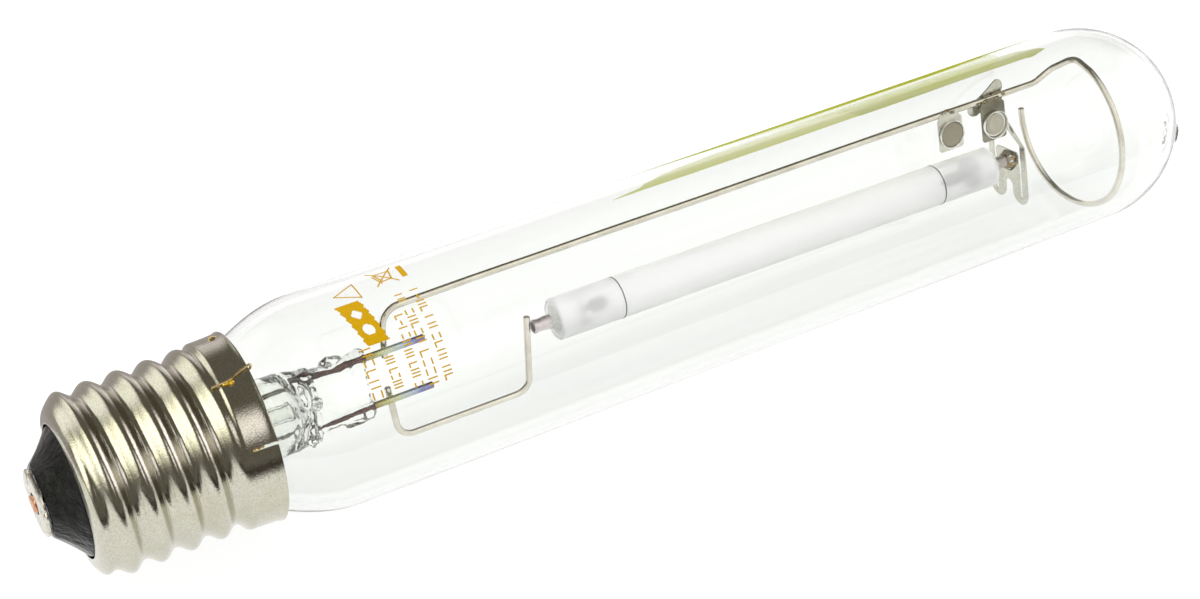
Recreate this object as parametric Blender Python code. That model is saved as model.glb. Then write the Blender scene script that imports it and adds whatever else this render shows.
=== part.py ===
"""Clear tubular high-pressure sodium grow lamp with an E40 screw cap.

The lamp lies along +X: the cap's centre contact is at the origin and the dome is at +X.
Every length below is in millimetres and is turned into metres where a mesh is made.
Inside the bulb, the electrode frame lies in one plane, the frame plane. It holds the
lamp's axis and the long frame wire, and it is turned by FRAME_ROLL about the axis.
"""

import math

import bmesh
import bpy
from mathutils import Vector

MM = 0.001
GAP = 0.3                     # clearance between pieces that touch on the real lamp
CUTTER_TWIST = 7.0            # degrees; keeps a cutter's edges off the edges of what it cuts

# ---- driving dimensions, in millimetres ----
LAMP_LENGTH = 280.0           # contact face to dome
BULB_R = 23.0
BULB_WALL = 1.1
NECK_R = 18.2                 # glass neck, inside the cap
NECK_START = 30.0
NECK_END_R = 16.2             # where the neck sits inside the thread
SHOULDER_START = 45.5
SHOULDER_END = 62.0

THREAD_PITCH = 6.35           # E40 knuckle thread
THREAD_CREST_R = 19.65
THREAD_ROOT_R = 17.85
FIRST_CREST = 11.2            # where the thread's crest crosses the top of the lamp, +Z
SHELL_WALL = 0.4
SHELL_START = 7.0
SHELL_START_R = 14.4
SHELL_NOSE = 2.2              # length of the rounded front of the shell
THREAD_RISE = 4.2             # the thread grows to full depth over this length
SKIRT_BLEND = 1.8             # the last thread turns into the skirt over this length
RIM_SLIT_LENGTH = 3.7
RIM_SLIT_WIDTH = 0.7
SKIRT_START = 39.0
SKIRT_R = 19.95
RIM_X = 45.2
RIM_R = 20.5

CONTACT_R = 7.1
CONTACT_THICK = 0.9
CONTACT_HOLE_R = 2.4           # the centre lead is soldered into this hole
SOLDER_RISE = 0.85
INSULATOR_FRONT_R = 7.5
INSULATOR_BACK_R = 13.9
INSULATOR_BACK = 7.1
INSULATOR_END = 11.0          # inside the shell
INSULATOR_WALL = 3.0
INSULATOR_BORE_R = 1.4

LEAD_SPREAD = 5.6             # lead-in rods above and below the axis
LEAD_ROD_R = 0.75
PRESS_END = 72.3
PRESS_HALF_WIDTH = 8.3
PRESS_HALF_THICK = 2.3
FLARE_R = 8.6

WIRE_R = 0.75                 # frame wire
WIRE_SIDE = 1.85              # the wires are welded to the far side of the lead-in rods
LONG_RUN_HEIGHT = 13.9        # long wire above the axis
SHORT_RUN_HEIGHT = -15.8      # short wire below the axis
FRAME_BEND_R = 4.5
RING_X = 254.3                # spring ring that steadies the frame in the dome
RING_R = 18.8

ARC_START = 115.6
ARC_LENGTH = 115.0
ARC_R = 4.7
ARC_WALL = 0.8
ARC_DROP = -1.0               # arc tube's base end below the lamp's axis
ARC_TILT = 0.6                # degrees, nose down towards the dome
PLUG_DEPTH = 6.2
NIOBIUM_R = 1.6
NIOBIUM_BORE_R = 1.2
NIOBIUM_OUT = 5.2
ELECTRODE_TIP = 13.5          # from the ceramic's end face
ANTENNA_INSET = 15.3

CONNECTOR_X = 236.6
CONNECTOR_HALF = 6.9
CONNECTOR_BOTTOM = -12.8
CONNECTOR_FOLD = 2.0
CONNECTOR_SHIFT = 0.6         # to the far side of the frame plane, clear of the getter plate

FRAME_ROLL = -17.1            # degrees about the lamp's axis
NECK_LOCK_ANGLES = (60.0, -24.9)     # tabs on the skirt, degrees from +Z towards -Y
SIDE_WIRE_ANGLE = 15.0
SIDE_WIRE_R = 0.3
CENTRE_LEAD_R = 0.5
SIDE_LEAD_R = 0.4
EXHAUST_R = 1.9
EXHAUST_BORE_R = 1.15
SHEET = 0.3                   # thickness of the clip and the connector
GETTER_SHEET = 0.25


# ---- scene and materials ----
def clear_scene():
    for item in list(bpy.data.objects):
        bpy.data.objects.remove(item, do_unlink=True)


def material(name, color, roughness, metallic=0.0, transmission=0.0, ior=1.5):
    mat = bpy.data.materials.new(name)
    mat.use_nodes = True
    shader = mat.node_tree.nodes["Principled BSDF"]
    shader.inputs["Base Color"].default_value = (*color, 1.0)
    shader.inputs["Roughness"].default_value = roughness
    shader.inputs["Metallic"].default_value = metallic
    shader.inputs["Transmission Weight"].default_value = transmission
    shader.inputs["IOR"].default_value = ior
    return mat


def empty(name, parent=None, location=(0, 0, 0), rotation=(0, 0, 0)):
    marker = bpy.data.objects.new(name, None)
    marker.parent = parent
    marker.location = Vector(location) * MM
    marker.rotation_euler = [math.radians(angle) for angle in rotation]
    bpy.context.scene.collection.objects.link(marker)
    return marker


def add_object(name, data, mat, parent=None, location=(0, 0, 0)):
    piece = bpy.data.objects.new(name, data)
    data.materials.append(mat)
    piece.parent = parent
    piece.location = Vector(location) * MM
    bpy.context.scene.collection.objects.link(piece)
    return piece


def finish_mesh(name, bm, mat, parent=None, location=(0, 0, 0), sharp=35.0):
    bmesh.ops.recalc_face_normals(bm, faces=bm.faces)
    mesh = bpy.data.meshes.new(name)
    bm.to_mesh(mesh)
    bm.free()
    mesh.shade_smooth()
    mesh.set_sharp_from_angle(angle=math.radians(sharp))
    return add_object(name, mesh, mat, parent, location)


# ---- shape helpers ----
def ring_grid(bm, rings, closed=False):
    """Skin a list of vertex rings; a ring of one vertex is a pole."""
    pairs = list(zip(rings, rings[1:]))
    if closed:
        pairs.append((rings[-1], rings[0]))
    for first, second in pairs:
        count = max(len(first), len(second))
        for i in range(count):
            j = (i + 1) % count
            if len(first) == 1:
                bm.faces.new((first[0], second[i], second[j]))
            elif len(second) == 1:
                bm.faces.new((first[i], second[0], first[j]))
            else:
                bm.faces.new((first[i], second[i], second[j], first[j]))


def surface_of_rings(bm, stations, segments, point):
    """One ring per station; point(station, angle) gives a position in millimetres."""
    rings = []
    for station in stations:
        if station[1] == 0:
            rings.append([bm.verts.new(Vector((station[0], 0, 0)) * MM)])
            continue
        angles = [2 * math.pi * i / segments for i in range(segments)]
        rings.append([bm.verts.new(Vector(point(station, a)) * MM) for a in angles])
    return rings


def turned(name, profile, mat, parent=None, segments=32, closed=True, sharp=35.0):
    """Turn a profile of (x, radius) points about X; closed joins its last point to its first."""
    bm = bmesh.new()

    def point(station, angle):
        return station[0], station[1] * math.sin(angle), station[1] * math.cos(angle)

    ring_grid(bm, surface_of_rings(bm, profile, segments, point), closed)
    return finish_mesh(name, bm, mat, parent, sharp=sharp)


def tube_profile(start, end, outer, inner):
    return [(start, inner), (start, outer), (end, outer), (end, inner)]


def rod_profile(start, end, radius, chamfer=0.0):
    if chamfer == 0.0:
        return [(start, 0), (start, radius), (end, radius), (end, 0)]
    return [(start, 0), (start, radius - chamfer), (start + chamfer, radius),
            (end - chamfer, radius), (end, radius - chamfer), (end, 0)]


def arc_points(centre, radius, start, end, steps):
    """Points (x, r) on an arc, angles in degrees from the +X direction."""
    angles = [math.radians(start + (end - start) * i / steps) for i in range(steps + 1)]
    return [(centre[0] + radius * math.cos(a), centre[1] + radius * math.sin(a)) for a in angles]


def filleted(points, radius, steps=5):
    """Round the inner corners of a 3-D path with arcs of one radius."""
    corners = [Vector(p) for p in points]
    path = [corners[0]]
    for before, corner, after in zip(corners, corners[1:], corners[2:]):
        towards, away = (before - corner).normalized(), (after - corner).normalized()
        half = towards.angle(away) / 2
        shorter = min((before - corner).length, (after - corner).length)
        reach = min(radius / math.tan(half), shorter * 0.49)
        size = reach * math.tan(half)
        centre = corner + (towards + away).normalized() * (size / math.sin(half))
        spoke_in, spoke_out = corner + towards * reach - centre, corner + away * reach - centre
        sweep = spoke_in.angle(spoke_out)
        for i in range(steps + 1):
            share = i / steps
            weight_in = math.sin((1 - share) * sweep) / math.sin(sweep)
            weight_out = math.sin(share * sweep) / math.sin(sweep)
            path.append(centre + spoke_in * weight_in + spoke_out * weight_out)
    path.append(corners[-1])
    return path


def wire(name, path, radius, mat, parent=None, sides=8):
    """A round wire with filled ends along a path in millimetres."""
    curve = bpy.data.curves.new(name, "CURVE")
    curve.dimensions = "3D"
    curve.bevel_depth = radius * MM
    curve.bevel_resolution = (sides - 4) // 2
    curve.use_fill_caps = True
    spline = curve.splines.new("POLY")
    spline.points.add(len(path) - 1)
    for target, position in zip(spline.points, path):
        target.co = (*(Vector(position) * MM), 1.0)
    spline.use_smooth = True
    return add_object(name, curve, mat, parent)


def sheet(name, outline, thickness, place, mat, parent=None, holes=()):
    """A flat sheet: outline in its own plane, place(u, v, w) puts it in space, w across its thickness."""
    bm = bmesh.new()
    loops = [list(outline)] + [list(hole) for hole in holes]
    edges = []
    for loop in loops:
        verts = [bm.verts.new(Vector((u, v, 0.0))) for u, v in loop]
        edges += [bm.edges.new((verts[i - 1], verts[i])) for i in range(len(verts))]
    filled = bmesh.ops.triangle_fill(bm, edges=edges, use_beauty=True)
    faces = [item for item in filled["geom"] if isinstance(item, bmesh.types.BMFace)]
    raised = bmesh.ops.extrude_face_region(bm, geom=faces)
    for item in raised["geom"]:
        if isinstance(item, bmesh.types.BMVert):
            item.co.z = thickness
    for vert in bm.verts:
        vert.co = Vector(place(*vert.co)) * MM
    return finish_mesh(name, bm, mat, parent)


def rounded_bar(length, width, steps=6):
    """Outline of a bar with half-round ends, centred on its own origin."""
    reach = (length - width) / 2
    right = arc_points((reach, 0), width / 2, -90, 90, steps)
    left = arc_points((-reach, 0), width / 2, 90, 270, steps)
    return right + left


def cutter(name, mesh_source, parent=None):
    mesh_source.name = name
    mesh_source.hide_render = True
    mesh_source.display_type = "WIRE"
    mesh_source.parent = parent
    return mesh_source


def cut(target, tool):
    step = target.modifiers.new("cut_" + tool.name, "BOOLEAN")
    step.operation = "DIFFERENCE"
    step.solver = "EXACT"
    step.object = tool


def blend(a, b, share):
    return a + (b - a) * share


def ease(share):
    share = min(max(share, 0.0), 1.0)
    return share * share * (3 - 2 * share)


# ---- cap ----
def build_contact(steel, solder):
    edge = 0.35
    turned("centre_contact", [
        (0.0, CONTACT_HOLE_R), (0.0, CONTACT_R - edge), (edge, CONTACT_R), (CONTACT_THICK, CONTACT_R),
        (CONTACT_THICK, CONTACT_HOLE_R)], steel)
    radius = CONTACT_HOLE_R - GAP
    seat = CONTACT_THICK - GAP
    dome = [(x * SOLDER_RISE, r * radius) for x, r in arc_points((0.0, 0.0), 1.0, 90, 180, 5)]
    turned("contact_solder", [(seat, 0.0), (seat, radius)] + dome[:-1] + [(-SOLDER_RISE, 0.0)], solder,
           segments=20, closed=False)


def build_insulator(glass_black):
    start = CONTACT_THICK + GAP
    floor = start + INSULATOR_WALL + 1.2
    turned("cap_insulator", [
        (start, INSULATOR_BORE_R), (start, INSULATOR_FRONT_R), (INSULATOR_BACK, INSULATOR_BACK_R),
        (INSULATOR_END, INSULATOR_BACK_R), (INSULATOR_END, INSULATOR_BACK_R - INSULATOR_WALL), (floor, 4.0),
        (floor, INSULATOR_BORE_R)], glass_black, segments=40)


def shell_radius(x, angle, inside):
    """Outer radius of the rolled shell at x and at an angle about the axis."""
    wall = SHELL_WALL if inside else 0.0
    if x <= SHELL_START + SHELL_NOSE:
        share = (x - SHELL_START) / SHELL_NOSE
        edge = SHELL_START_R + (THREAD_ROOT_R - SHELL_START_R) * math.sqrt(share * (2 - share))
    else:
        edge = THREAD_ROOT_R
    skirt = ease((x - SKIRT_START + SKIRT_BLEND) / SKIRT_BLEND)
    flare = max(0.0, (x - SKIRT_START) / (RIM_X - SKIRT_START))
    base = blend(edge, SKIRT_R, skirt) + (RIM_R - SKIRT_R) * flare ** 1.5
    # The thread is right-handed: its crest moves towards +X as the angle grows.
    crest = FIRST_CREST + THREAD_PITCH * angle / (2 * math.pi)
    phase = 2 * math.pi * (x - crest) / THREAD_PITCH
    depth = THREAD_CREST_R - THREAD_ROOT_R
    rise = ease((x - SHELL_START) / THREAD_RISE)
    fade = 1.0 - skirt
    return base + depth * rise * fade * 0.5 * (1 + math.cos(phase)) - wall


def build_shell(nickel):
    segments = 40
    rows = [SHELL_START + SHELL_NOSE * i / 4 for i in range(4)]
    step = THREAD_PITCH / 6
    rows += [rows[-1] + step * (i + 1) for i in range(int((SKIRT_START - rows[-1]) / step))]
    rows += [SKIRT_START, 41.0, 43.0, RIM_X]
    bm = bmesh.new()
    rings = []
    for inside in (False, True):
        order = rows if not inside else list(reversed(rows))
        for x in order:
            ring = []
            for i in range(segments):
                angle = 2 * math.pi * i / segments
                radius = shell_radius(x, angle, inside)
                spot = Vector((x, -radius * math.sin(angle), radius * math.cos(angle)))
                ring.append(bm.verts.new(spot * MM))
            rings.append(ring)
    ring_grid(bm, rings, closed=True)
    shell = finish_mesh("screw_shell", bm, nickel, sharp=60.0)
    past = 1.3                                  # the cutter runs on past the rim
    slit = box_piece("rim_slit_cutter", (RIM_SLIT_LENGTH + past, 3.0, RIM_SLIT_WIDTH), nickel)
    middle = RIM_X - (RIM_SLIT_LENGTH - past) / 2
    slit.location = Vector(on_cylinder(middle, SKIRT_R, NECK_LOCK_ANGLES[0])) * MM
    slit.rotation_euler = (math.radians(NECK_LOCK_ANGLES[0] - 90), 0, 0)
    cut(shell, cutter("rim_slit_cutter", slit))


def on_cylinder(x, radius, angle):
    """A point at an angle in degrees from +Z towards -Y."""
    turn = math.radians(angle)
    return x, -radius * math.sin(turn), radius * math.cos(turn)


def box_piece(name, size, mat, parent=None, bevel=0.0):
    bm = bmesh.new()
    bmesh.ops.create_cube(bm, size=1.0)
    for vert in bm.verts:
        vert.co = Vector((vert.co.x * size[0], vert.co.y * size[1], vert.co.z * size[2])) * MM
    if bevel:
        bmesh.ops.bevel(bm, geom=bm.edges, offset=bevel * MM, segments=2, affect="EDGES", profile=0.5)
    return finish_mesh(name, bm, mat, parent)


def build_neck_locks(brass):
    """Small tabs at the skirt that lock the cap to the glass neck."""
    places = ((RIM_X - 5.6, NECK_LOCK_ANGLES[0]), (RIM_X - 2.3, NECK_LOCK_ANGLES[1]))
    for number, (x, angle) in enumerate(places, start=1):
        tab = box_piece(f"neck_lock_tab_{number}", (1.6, 1.1, 0.5), brass, bevel=0.15)
        outside = shell_radius(x, math.radians(angle), False) + GAP + 0.25
        tab.location = Vector(on_cylinder(x, outside, angle)) * MM
        tab.rotation_euler = (math.radians(angle), 0, 0)


def build_side_contact(brass, solder):
    """The side lead comes out between neck and shell, over the rim and back along the skirt."""
    radius = SIDE_WIRE_R
    inner = (NECK_R + RIM_R - SHELL_WALL) / 2
    outer = RIM_R + GAP + radius
    skirt = SKIRT_R + GAP + radius + 0.12
    angle = SIDE_WIRE_ANGLE
    in_thread = THREAD_ROOT_R - SHELL_WALL - GAP - radius - 0.03
    corners = [on_cylinder(27.2, 15.4, angle - 1), on_cylinder(29.6, in_thread, angle - 1),
               on_cylinder(37.0, in_thread, angle - 1), on_cylinder(40.6, inner, angle - 1.2),
               on_cylinder(RIM_X + 1.1, inner, angle - 1.5),
               on_cylinder(RIM_X + 1.1, outer, angle - 1.5),
               on_cylinder(41.5, skirt, angle + 1.5), on_cylinder(37.9, skirt - 0.05, angle + 2.5)]
    wire("side_contact_wire", filleted(corners, 0.7, 3), radius, brass, sides=6)
    bead = box_piece("side_contact_weld", (2.2, 0.9, 0.55), solder, bevel=0.2)
    bead.location = Vector(on_cylinder(40.2, skirt + radius + GAP + 0.3, angle + 1.8)) * MM
    bead.rotation_euler = (math.radians(angle + 1.8), 0, 0)


# ---- outer glass ----
def build_bulb(glass):
    centre = LAMP_LENGTH - BULB_R
    neck = [(NECK_START, NECK_END_R), (36.5, NECK_END_R), (40.0, NECK_R), (SHOULDER_START - 2, NECK_R)]
    shoulder = []
    for i in range(7):
        share = i / 6
        rise = math.sin(math.pi / 2 * share) ** 0.9 if share else 0.0
        shoulder.append((blend(SHOULDER_START, SHOULDER_END, share), blend(NECK_R, BULB_R, rise)))
    outer = neck + shoulder + arc_points((centre, 0), BULB_R, 90, 8, 9) + [(LAMP_LENGTH, 0)]
    inner = [(x, r - BULB_WALL) for x, r in neck + shoulder]
    inner += arc_points((centre, 0), BULB_R - BULB_WALL, 90, 8, 9) + [(LAMP_LENGTH - BULB_WALL, 0)]
    bm = bmesh.new()

    def point(station, angle):
        return station[0], -station[1] * math.sin(angle), station[1] * math.cos(angle)

    outside = surface_of_rings(bm, outer, 40, point)
    inside = surface_of_rings(bm, inner, 40, point)
    ring_grid(bm, outside)
    ring_grid(bm, [list(ring) for ring in inside])
    ring_grid(bm, [outside[0], inside[0]])
    finish_mesh("outer_bulb", bm, glass, sharp=60.0)


def build_stem(glass, parent):
    """Flared glass stem, pinched flat at its end round the two lead-in rods."""
    outer = [(NECK_START, 14.7, 14.7), (33.0, 13.0, 13.0), (38.0, 10.6, 10.6), (44.0, 9.0, 9.0),
             (52.0, FLARE_R, FLARE_R), (55.5, FLARE_R, 7.4), (58.5, PRESS_HALF_WIDTH, 3.9),
             (61.5, PRESS_HALF_WIDTH, 2.6), (66.0, PRESS_HALF_WIDTH, PRESS_HALF_THICK),
             (PRESS_END - 0.8, PRESS_HALF_WIDTH, PRESS_HALF_THICK), (PRESS_END, 7.7, 1.7)]
    wall = 1.0
    inner = [(x, a - wall, b - wall) for x, a, b in outer[:5]]
    inner += [(54.5, 7.4, 5.6), (56.8, 7.0, 2.2)]
    segments = 32
    bm = bmesh.new()

    def section(station):
        x, half_width, half_thick = station
        flat = min(max(1 - half_thick / half_width, 0.0), 1.0)
        power = 1.0 - 0.5 * flat
        ring = []
        for i in range(segments):
            angle = 2 * math.pi * i / segments
            side, up = math.sin(angle), math.cos(angle)
            y = half_thick * math.copysign(abs(side) ** power, side)
            z = half_width * math.copysign(abs(up) ** power, up)
            ring.append(bm.verts.new(Vector((x, y, z)) * MM))
        return ring

    rings = [section(s) for s in outer]
    end = bm.verts.new(Vector((PRESS_END, 0, 0)) * MM)
    inside = [section(s) for s in inner]
    root = bm.verts.new(Vector((inner[-1][0], 0, 0)) * MM)
    ring_grid(bm, rings + [[end]])
    ring_grid(bm, inside + [[root]])
    ring_grid(bm, [rings[0], inside[0]])
    stem = finish_mesh("stem_glass", bm, glass, parent, sharp=60.0)
    for number, height in enumerate((LEAD_SPREAD, -LEAD_SPREAD), start=1):
        bore = turned(f"lead_bore_cutter_{number}", rod_profile(50.0, 80.0, LEAD_ROD_R + GAP), glass,
                      segments=12, closed=False)
        bore.location = Vector((0, 0, height)) * MM
        bore.rotation_euler = (math.radians(CUTTER_TWIST), 0, 0)
        cut(stem, cutter(bore.name, bore, parent))
    exhaust = turned("exhaust_hole_cutter", rod_profile(50.0, 62.5, 1.0), glass, segments=12, closed=False)
    exhaust.rotation_euler = (math.radians(CUTTER_TWIST), 0, 0)
    cut(stem, cutter(exhaust.name, exhaust, parent))


def build_exhaust_tube(glass, parent):
    """Open towards the press, drawn to a closed tip inside the cap."""
    start, end = 20.0, 54.0
    outer = [(start, 0.0), (start + 0.5, EXHAUST_R / 2), (start + 3.0, EXHAUST_R), (end, EXHAUST_R)]
    inner = [(end, EXHAUST_BORE_R), (start + 4.0, EXHAUST_BORE_R), (start + 2.0, 0.0)]
    turned("exhaust_tube", outer + inner, glass, parent, segments=16, closed=False)


# ---- leads and frame ----
def build_leads(lead_metal, rod_metal, frame):
    for name, sign in (("lead_in_rod_upper", 1), ("lead_in_rod_lower", -1)):
        rod = turned(name, rod_profile(58.2, 86.0, LEAD_ROD_R, 0.1), rod_metal, frame, 12, closed=False)
        rod.location = Vector((0, 0, sign * LEAD_SPREAD)) * MM
    centre_route = [(0.9, 0, 0), (14.0, 0, 0), (26.0, 0, 4.6), (46.0, 0, 4.6), (57.7, 0, LEAD_SPREAD)]
    wire("centre_lead_wire", filleted(centre_route, 8.0), CENTRE_LEAD_R, lead_metal, frame, sides=6)
    # The side lead turns back round the open end of the neck towards the side contact.
    side_route = [(57.7, 0, -LEAD_SPREAD), (46.0, 0, -5.0), (26.0, 0, -5.0), (25.5, 6.5, 5.0),
                  (26.2, 0.6, 14.4)]
    wire("side_lead_wire", filleted(side_route, 3.0), SIDE_LEAD_R, lead_metal, frame, sides=6)


def build_frame_wires(steel, frame):
    top = LONG_RUN_HEIGHT
    foot = 77.2
    ring = []
    steps = 22
    for i in range(steps + 1):
        turn = math.radians(blend(12.0, 271.0, i / steps))
        out = RING_R + 0.6 * math.sin(turn)
        ring.append((RING_X, -out * math.sin(turn), out * math.cos(turn)))
    rising = [(foot, WIRE_SIDE, 3.4), (foot + 1.2, WIRE_SIDE, top - 0.2), (100.0, 1.7, top),
              (241.0, 0.5, top - 0.2), (249.0, 0.1, top + 1.6), ring[0]]
    reach = 2                                   # ring points taken up by the last bend
    path = filleted(rising + [ring[reach]], FRAME_BEND_R) + [Vector(p) for p in ring[reach + 1:]]
    wire("frame_wire_long", path, WIRE_R, steel, frame)
    base_end = ARC_START - NIOBIUM_OUT - GAP - WIRE_R
    low = SHORT_RUN_HEIGHT
    route = [(76.4, WIRE_SIDE, -3.6), (77.0, WIRE_SIDE, low), (107.6, 0.9, low + 0.3),
             (base_end, 0.0, ARC_DROP + 2.9)]
    wire("frame_wire_short", filleted(route, 3.4), WIRE_R, steel, frame)


def build_getters(steel, alloy, frame):
    """Two flat holders on the long wire, each with a ring cup pressed full of getter alloy."""
    holders = ((1, 217.3, 224.0, 5.4), (2, 229.3, 236.0, 4.2))
    wire_front = 0.75
    for number, left, right, bottom in holders:
        front = wire_front - 0.13 * number - WIRE_R - GAP
        centre_x, top = (left + right) / 2, LONG_RUN_HEIGHT + 0.4
        outline = [(left, bottom), (right, bottom), (right, top), (left, top)]
        sheet(f"getter_plate_{number}", outline, GETTER_SHEET, lambda u, v, w, f=front: (u, f - w, v),
              steel, frame)
        centre = Vector((centre_x, front - GETTER_SHEET - GAP, bottom + 3.9))
        cup = turned(f"getter_cup_{number}", [
            (0.0, 0.0), (0.0, 3.1), (1.1, 3.35), (1.1, 3.1), (0.3, 2.85), (0.3, 1.6), (0.75, 1.4),
            (0.75, 0.0)], steel, frame, 28, closed=False)
        fill = turned(f"getter_fill_{number}", tube_profile(0.6, 0.95, 2.65, 1.8), alloy, frame, 28)
        for piece in (cup, fill):
            piece.location = centre * MM
            piece.rotation_euler = (0, 0, math.radians(-90))


def build_clip_and_connector(steel, frame):
    """A bar behind the long wire, and the M-shaped sheet that lets the arc tube grow as it heats."""
    tilt = math.radians(29)
    centre = Vector((232.6, 0.0, LONG_RUN_HEIGHT - 0.1))
    behind = 0.6 + WIRE_R + GAP

    def place_clip(u, v, w):
        along = u * math.cos(tilt) - v * math.sin(tilt)
        up = u * math.sin(tilt) + v * math.cos(tilt)
        return centre.x + along, behind + w, centre.z + up

    sheet("frame_clip", rounded_bar(11.0, 3.2), SHEET, place_clip, steel, frame)
    niobium_height = ARC_DROP - (CONNECTOR_X - ARC_START) * math.sin(math.radians(ARC_TILT))
    hole = arc_points((CONNECTOR_SHIFT, niobium_height), NIOBIUM_R + GAP, 0, 330, 11)
    outline, window = connector_outline()
    sheet("flex_connector", outline, SHEET, place_connector, steel, frame, holes=[window, hole])


def connector_outline():
    """M shape: a middle plate on the niobium tube, a loop each side, and arms that meet below the clip."""
    half, low = CONNECTOR_HALF, CONNECTOR_BOTTOM
    leg, slit, stem = 1.9, 0.8, 0.8
    inner = 1.4                                 # half the gap between the two loops
    loop_r = (half - inner) / 2
    slit_in = half - leg - slit
    right = arc_points((inner + loop_r, low + loop_r), loop_r, 180, 360, 8)
    arm = [(half, CONNECTOR_FOLD), (stem, 7.6), (stem, 11.7)]
    arm_inside = [(half - leg, CONNECTOR_FOLD + 0.4)]
    slit_end = arc_points((slit_in + slit / 2, low + 2.0), slit / 2, 0, -180, 4)
    shoulder = [(slit_in, 1.2), (slit_in - 0.6, 1.8)]
    outer_side = right + arm
    inner_side = arm_inside + slit_end + shoulder
    notch = arc_points((0.0, -8.8), inner, 180, 0, 6)
    outer_left = [(-u, v) for u, v in reversed(outer_side)]
    inner_left = [(-u, v) for u, v in reversed(inner_side)]
    return notch + outer_side + outer_left, [(0.0, 5.6)] + inner_side + inner_left


def place_connector(u, v, w):
    """The stem above the arms leans back towards the cap, to meet the clip."""
    lean = max(0.0, v - 7.6) * 0.75
    return CONNECTOR_X - lean + w, CONNECTOR_SHIFT - u, v


# ---- arc tube ----
def build_arc_tube(ceramic, niobium, frit, tungsten, antenna_metal, amalgam, frame):
    axis = empty("arc_axis", frame, (ARC_START, 0, ARC_DROP), (0, ARC_TILT, 0))
    inner = ARC_R - ARC_WALL
    turned("arc_tube", tube_profile(0.0, ARC_LENGTH, ARC_R, inner), ceramic, axis, 32)
    for name, flip in (("base", 1), ("dome", -1)):
        place = ARC_LENGTH if flip < 0 else 0
        end = empty("arc_end_" + name, axis, (place, 0, 0), (0, 0, 180 if flip < 0 else 0))
        plug = tube_profile(0.4, PLUG_DEPTH, inner - GAP, NIOBIUM_R + GAP)
        turned("end_plug_" + name, plug, ceramic, end, 32)
        niobium_cup("niobium_tube_" + name, niobium, end)
        turned("seal_frit_" + name, [
            (0.1, NIOBIUM_R + GAP), (-0.8, NIOBIUM_R + GAP), (-0.35, 2.6), (0.1, 3.0)], frit, end, 24)
        rod_start = PLUG_DEPTH - 1.5 + GAP
        turned("electrode_rod_" + name, rod_profile(rod_start, ELECTRODE_TIP, 0.5, 0.1), tungsten, end, 10,
               closed=False)
        coil_r, coil_wire, turns = 1.1, 0.28, 6
        count = turns * 10
        helix = []
        for i in range(count + 1):
            turn = 2 * math.pi * i / 10
            along = ELECTRODE_TIP - 4.6 + i / 10 * 0.62
            helix.append((along, coil_r * math.sin(turn), coil_r * math.cos(turn)))
        wire("electrode_coil_" + name, helix, coil_wire, tungsten, end, sides=4)
    build_antenna(antenna_metal, axis)
    pill = [(0.0, 0.0), (0.0, 0.9), (0.9, 0.7), (1.1, 0.0)]
    drop = turned("amalgam_pill", pill, amalgam, axis, 14, closed=False)
    drop.location = Vector((PLUG_DEPTH + 1.6, 0.0, -(inner - GAP - 0.75))) * MM


def niobium_cup(name, mat, parent):
    """Current feed-through: a niobium tube, open outside and closed by its floor inside the plug."""
    floor = PLUG_DEPTH - 1.5
    return turned(name, [
        (floor, 0.0), (floor, NIOBIUM_R), (-NIOBIUM_OUT, NIOBIUM_R), (-NIOBIUM_OUT, NIOBIUM_BORE_R),
        (floor - 0.8, NIOBIUM_BORE_R), (floor - 0.8, 0.0)], mat, parent, 20, closed=False)


def build_antenna(metal, axis):
    """Ignition aid: a thin conductor on the ceramic, a ring near each end and a line that joins them."""
    inside, outside = ARC_R + 0.05, ARC_R + 0.25
    segments = 36
    ring_width, line_segments = 0.35, 1
    stations = [ANTENNA_INSET, ANTENNA_INSET + ring_width,
                ARC_LENGTH - ANTENNA_INSET - ring_width, ARC_LENGTH - ANTENNA_INSET]
    bm = bmesh.new()
    grid = {}
    for row, x in enumerate(stations):
        for column in range(segments):
            angle = 2 * math.pi * (column + 0.5) / segments
            for layer, radius in enumerate((inside, outside)):
                spot = Vector((x, radius * math.cos(angle), radius * math.sin(angle))) * MM
                grid[row, column, layer] = bm.verts.new(spot)
    cells = [(row, column) for row in (0, 2) for column in range(segments)]
    cells += [(1, column) for column in range(line_segments)]
    filled = set(cells)
    for row, column in cells:
        after = (column + 1) % segments
        for layer in (0, 1):
            bm.faces.new([grid[row, column, layer], grid[row, after, layer],
                          grid[row + 1, after, layer], grid[row + 1, column, layer]])
        sides = {(row - 1, column): ((row, column), (row, after)),
                 (row + 1, column): ((row + 1, column), (row + 1, after)),
                 (row, (column - 1) % segments): ((row, column), (row + 1, column)),
                 (row, after): ((row, after), (row + 1, after))}
        for neighbour, (first, second) in sides.items():
            if neighbour not in filled:
                bm.faces.new([grid[(*first, 0)], grid[(*second, 0)], grid[(*second, 1)], grid[(*first, 1)]])
    loose = [vert for vert in bm.verts if not vert.link_faces]
    bmesh.ops.delete(bm, geom=loose, context="VERTS")
    finish_mesh("ignition_antenna", bm, metal, axis)


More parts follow.
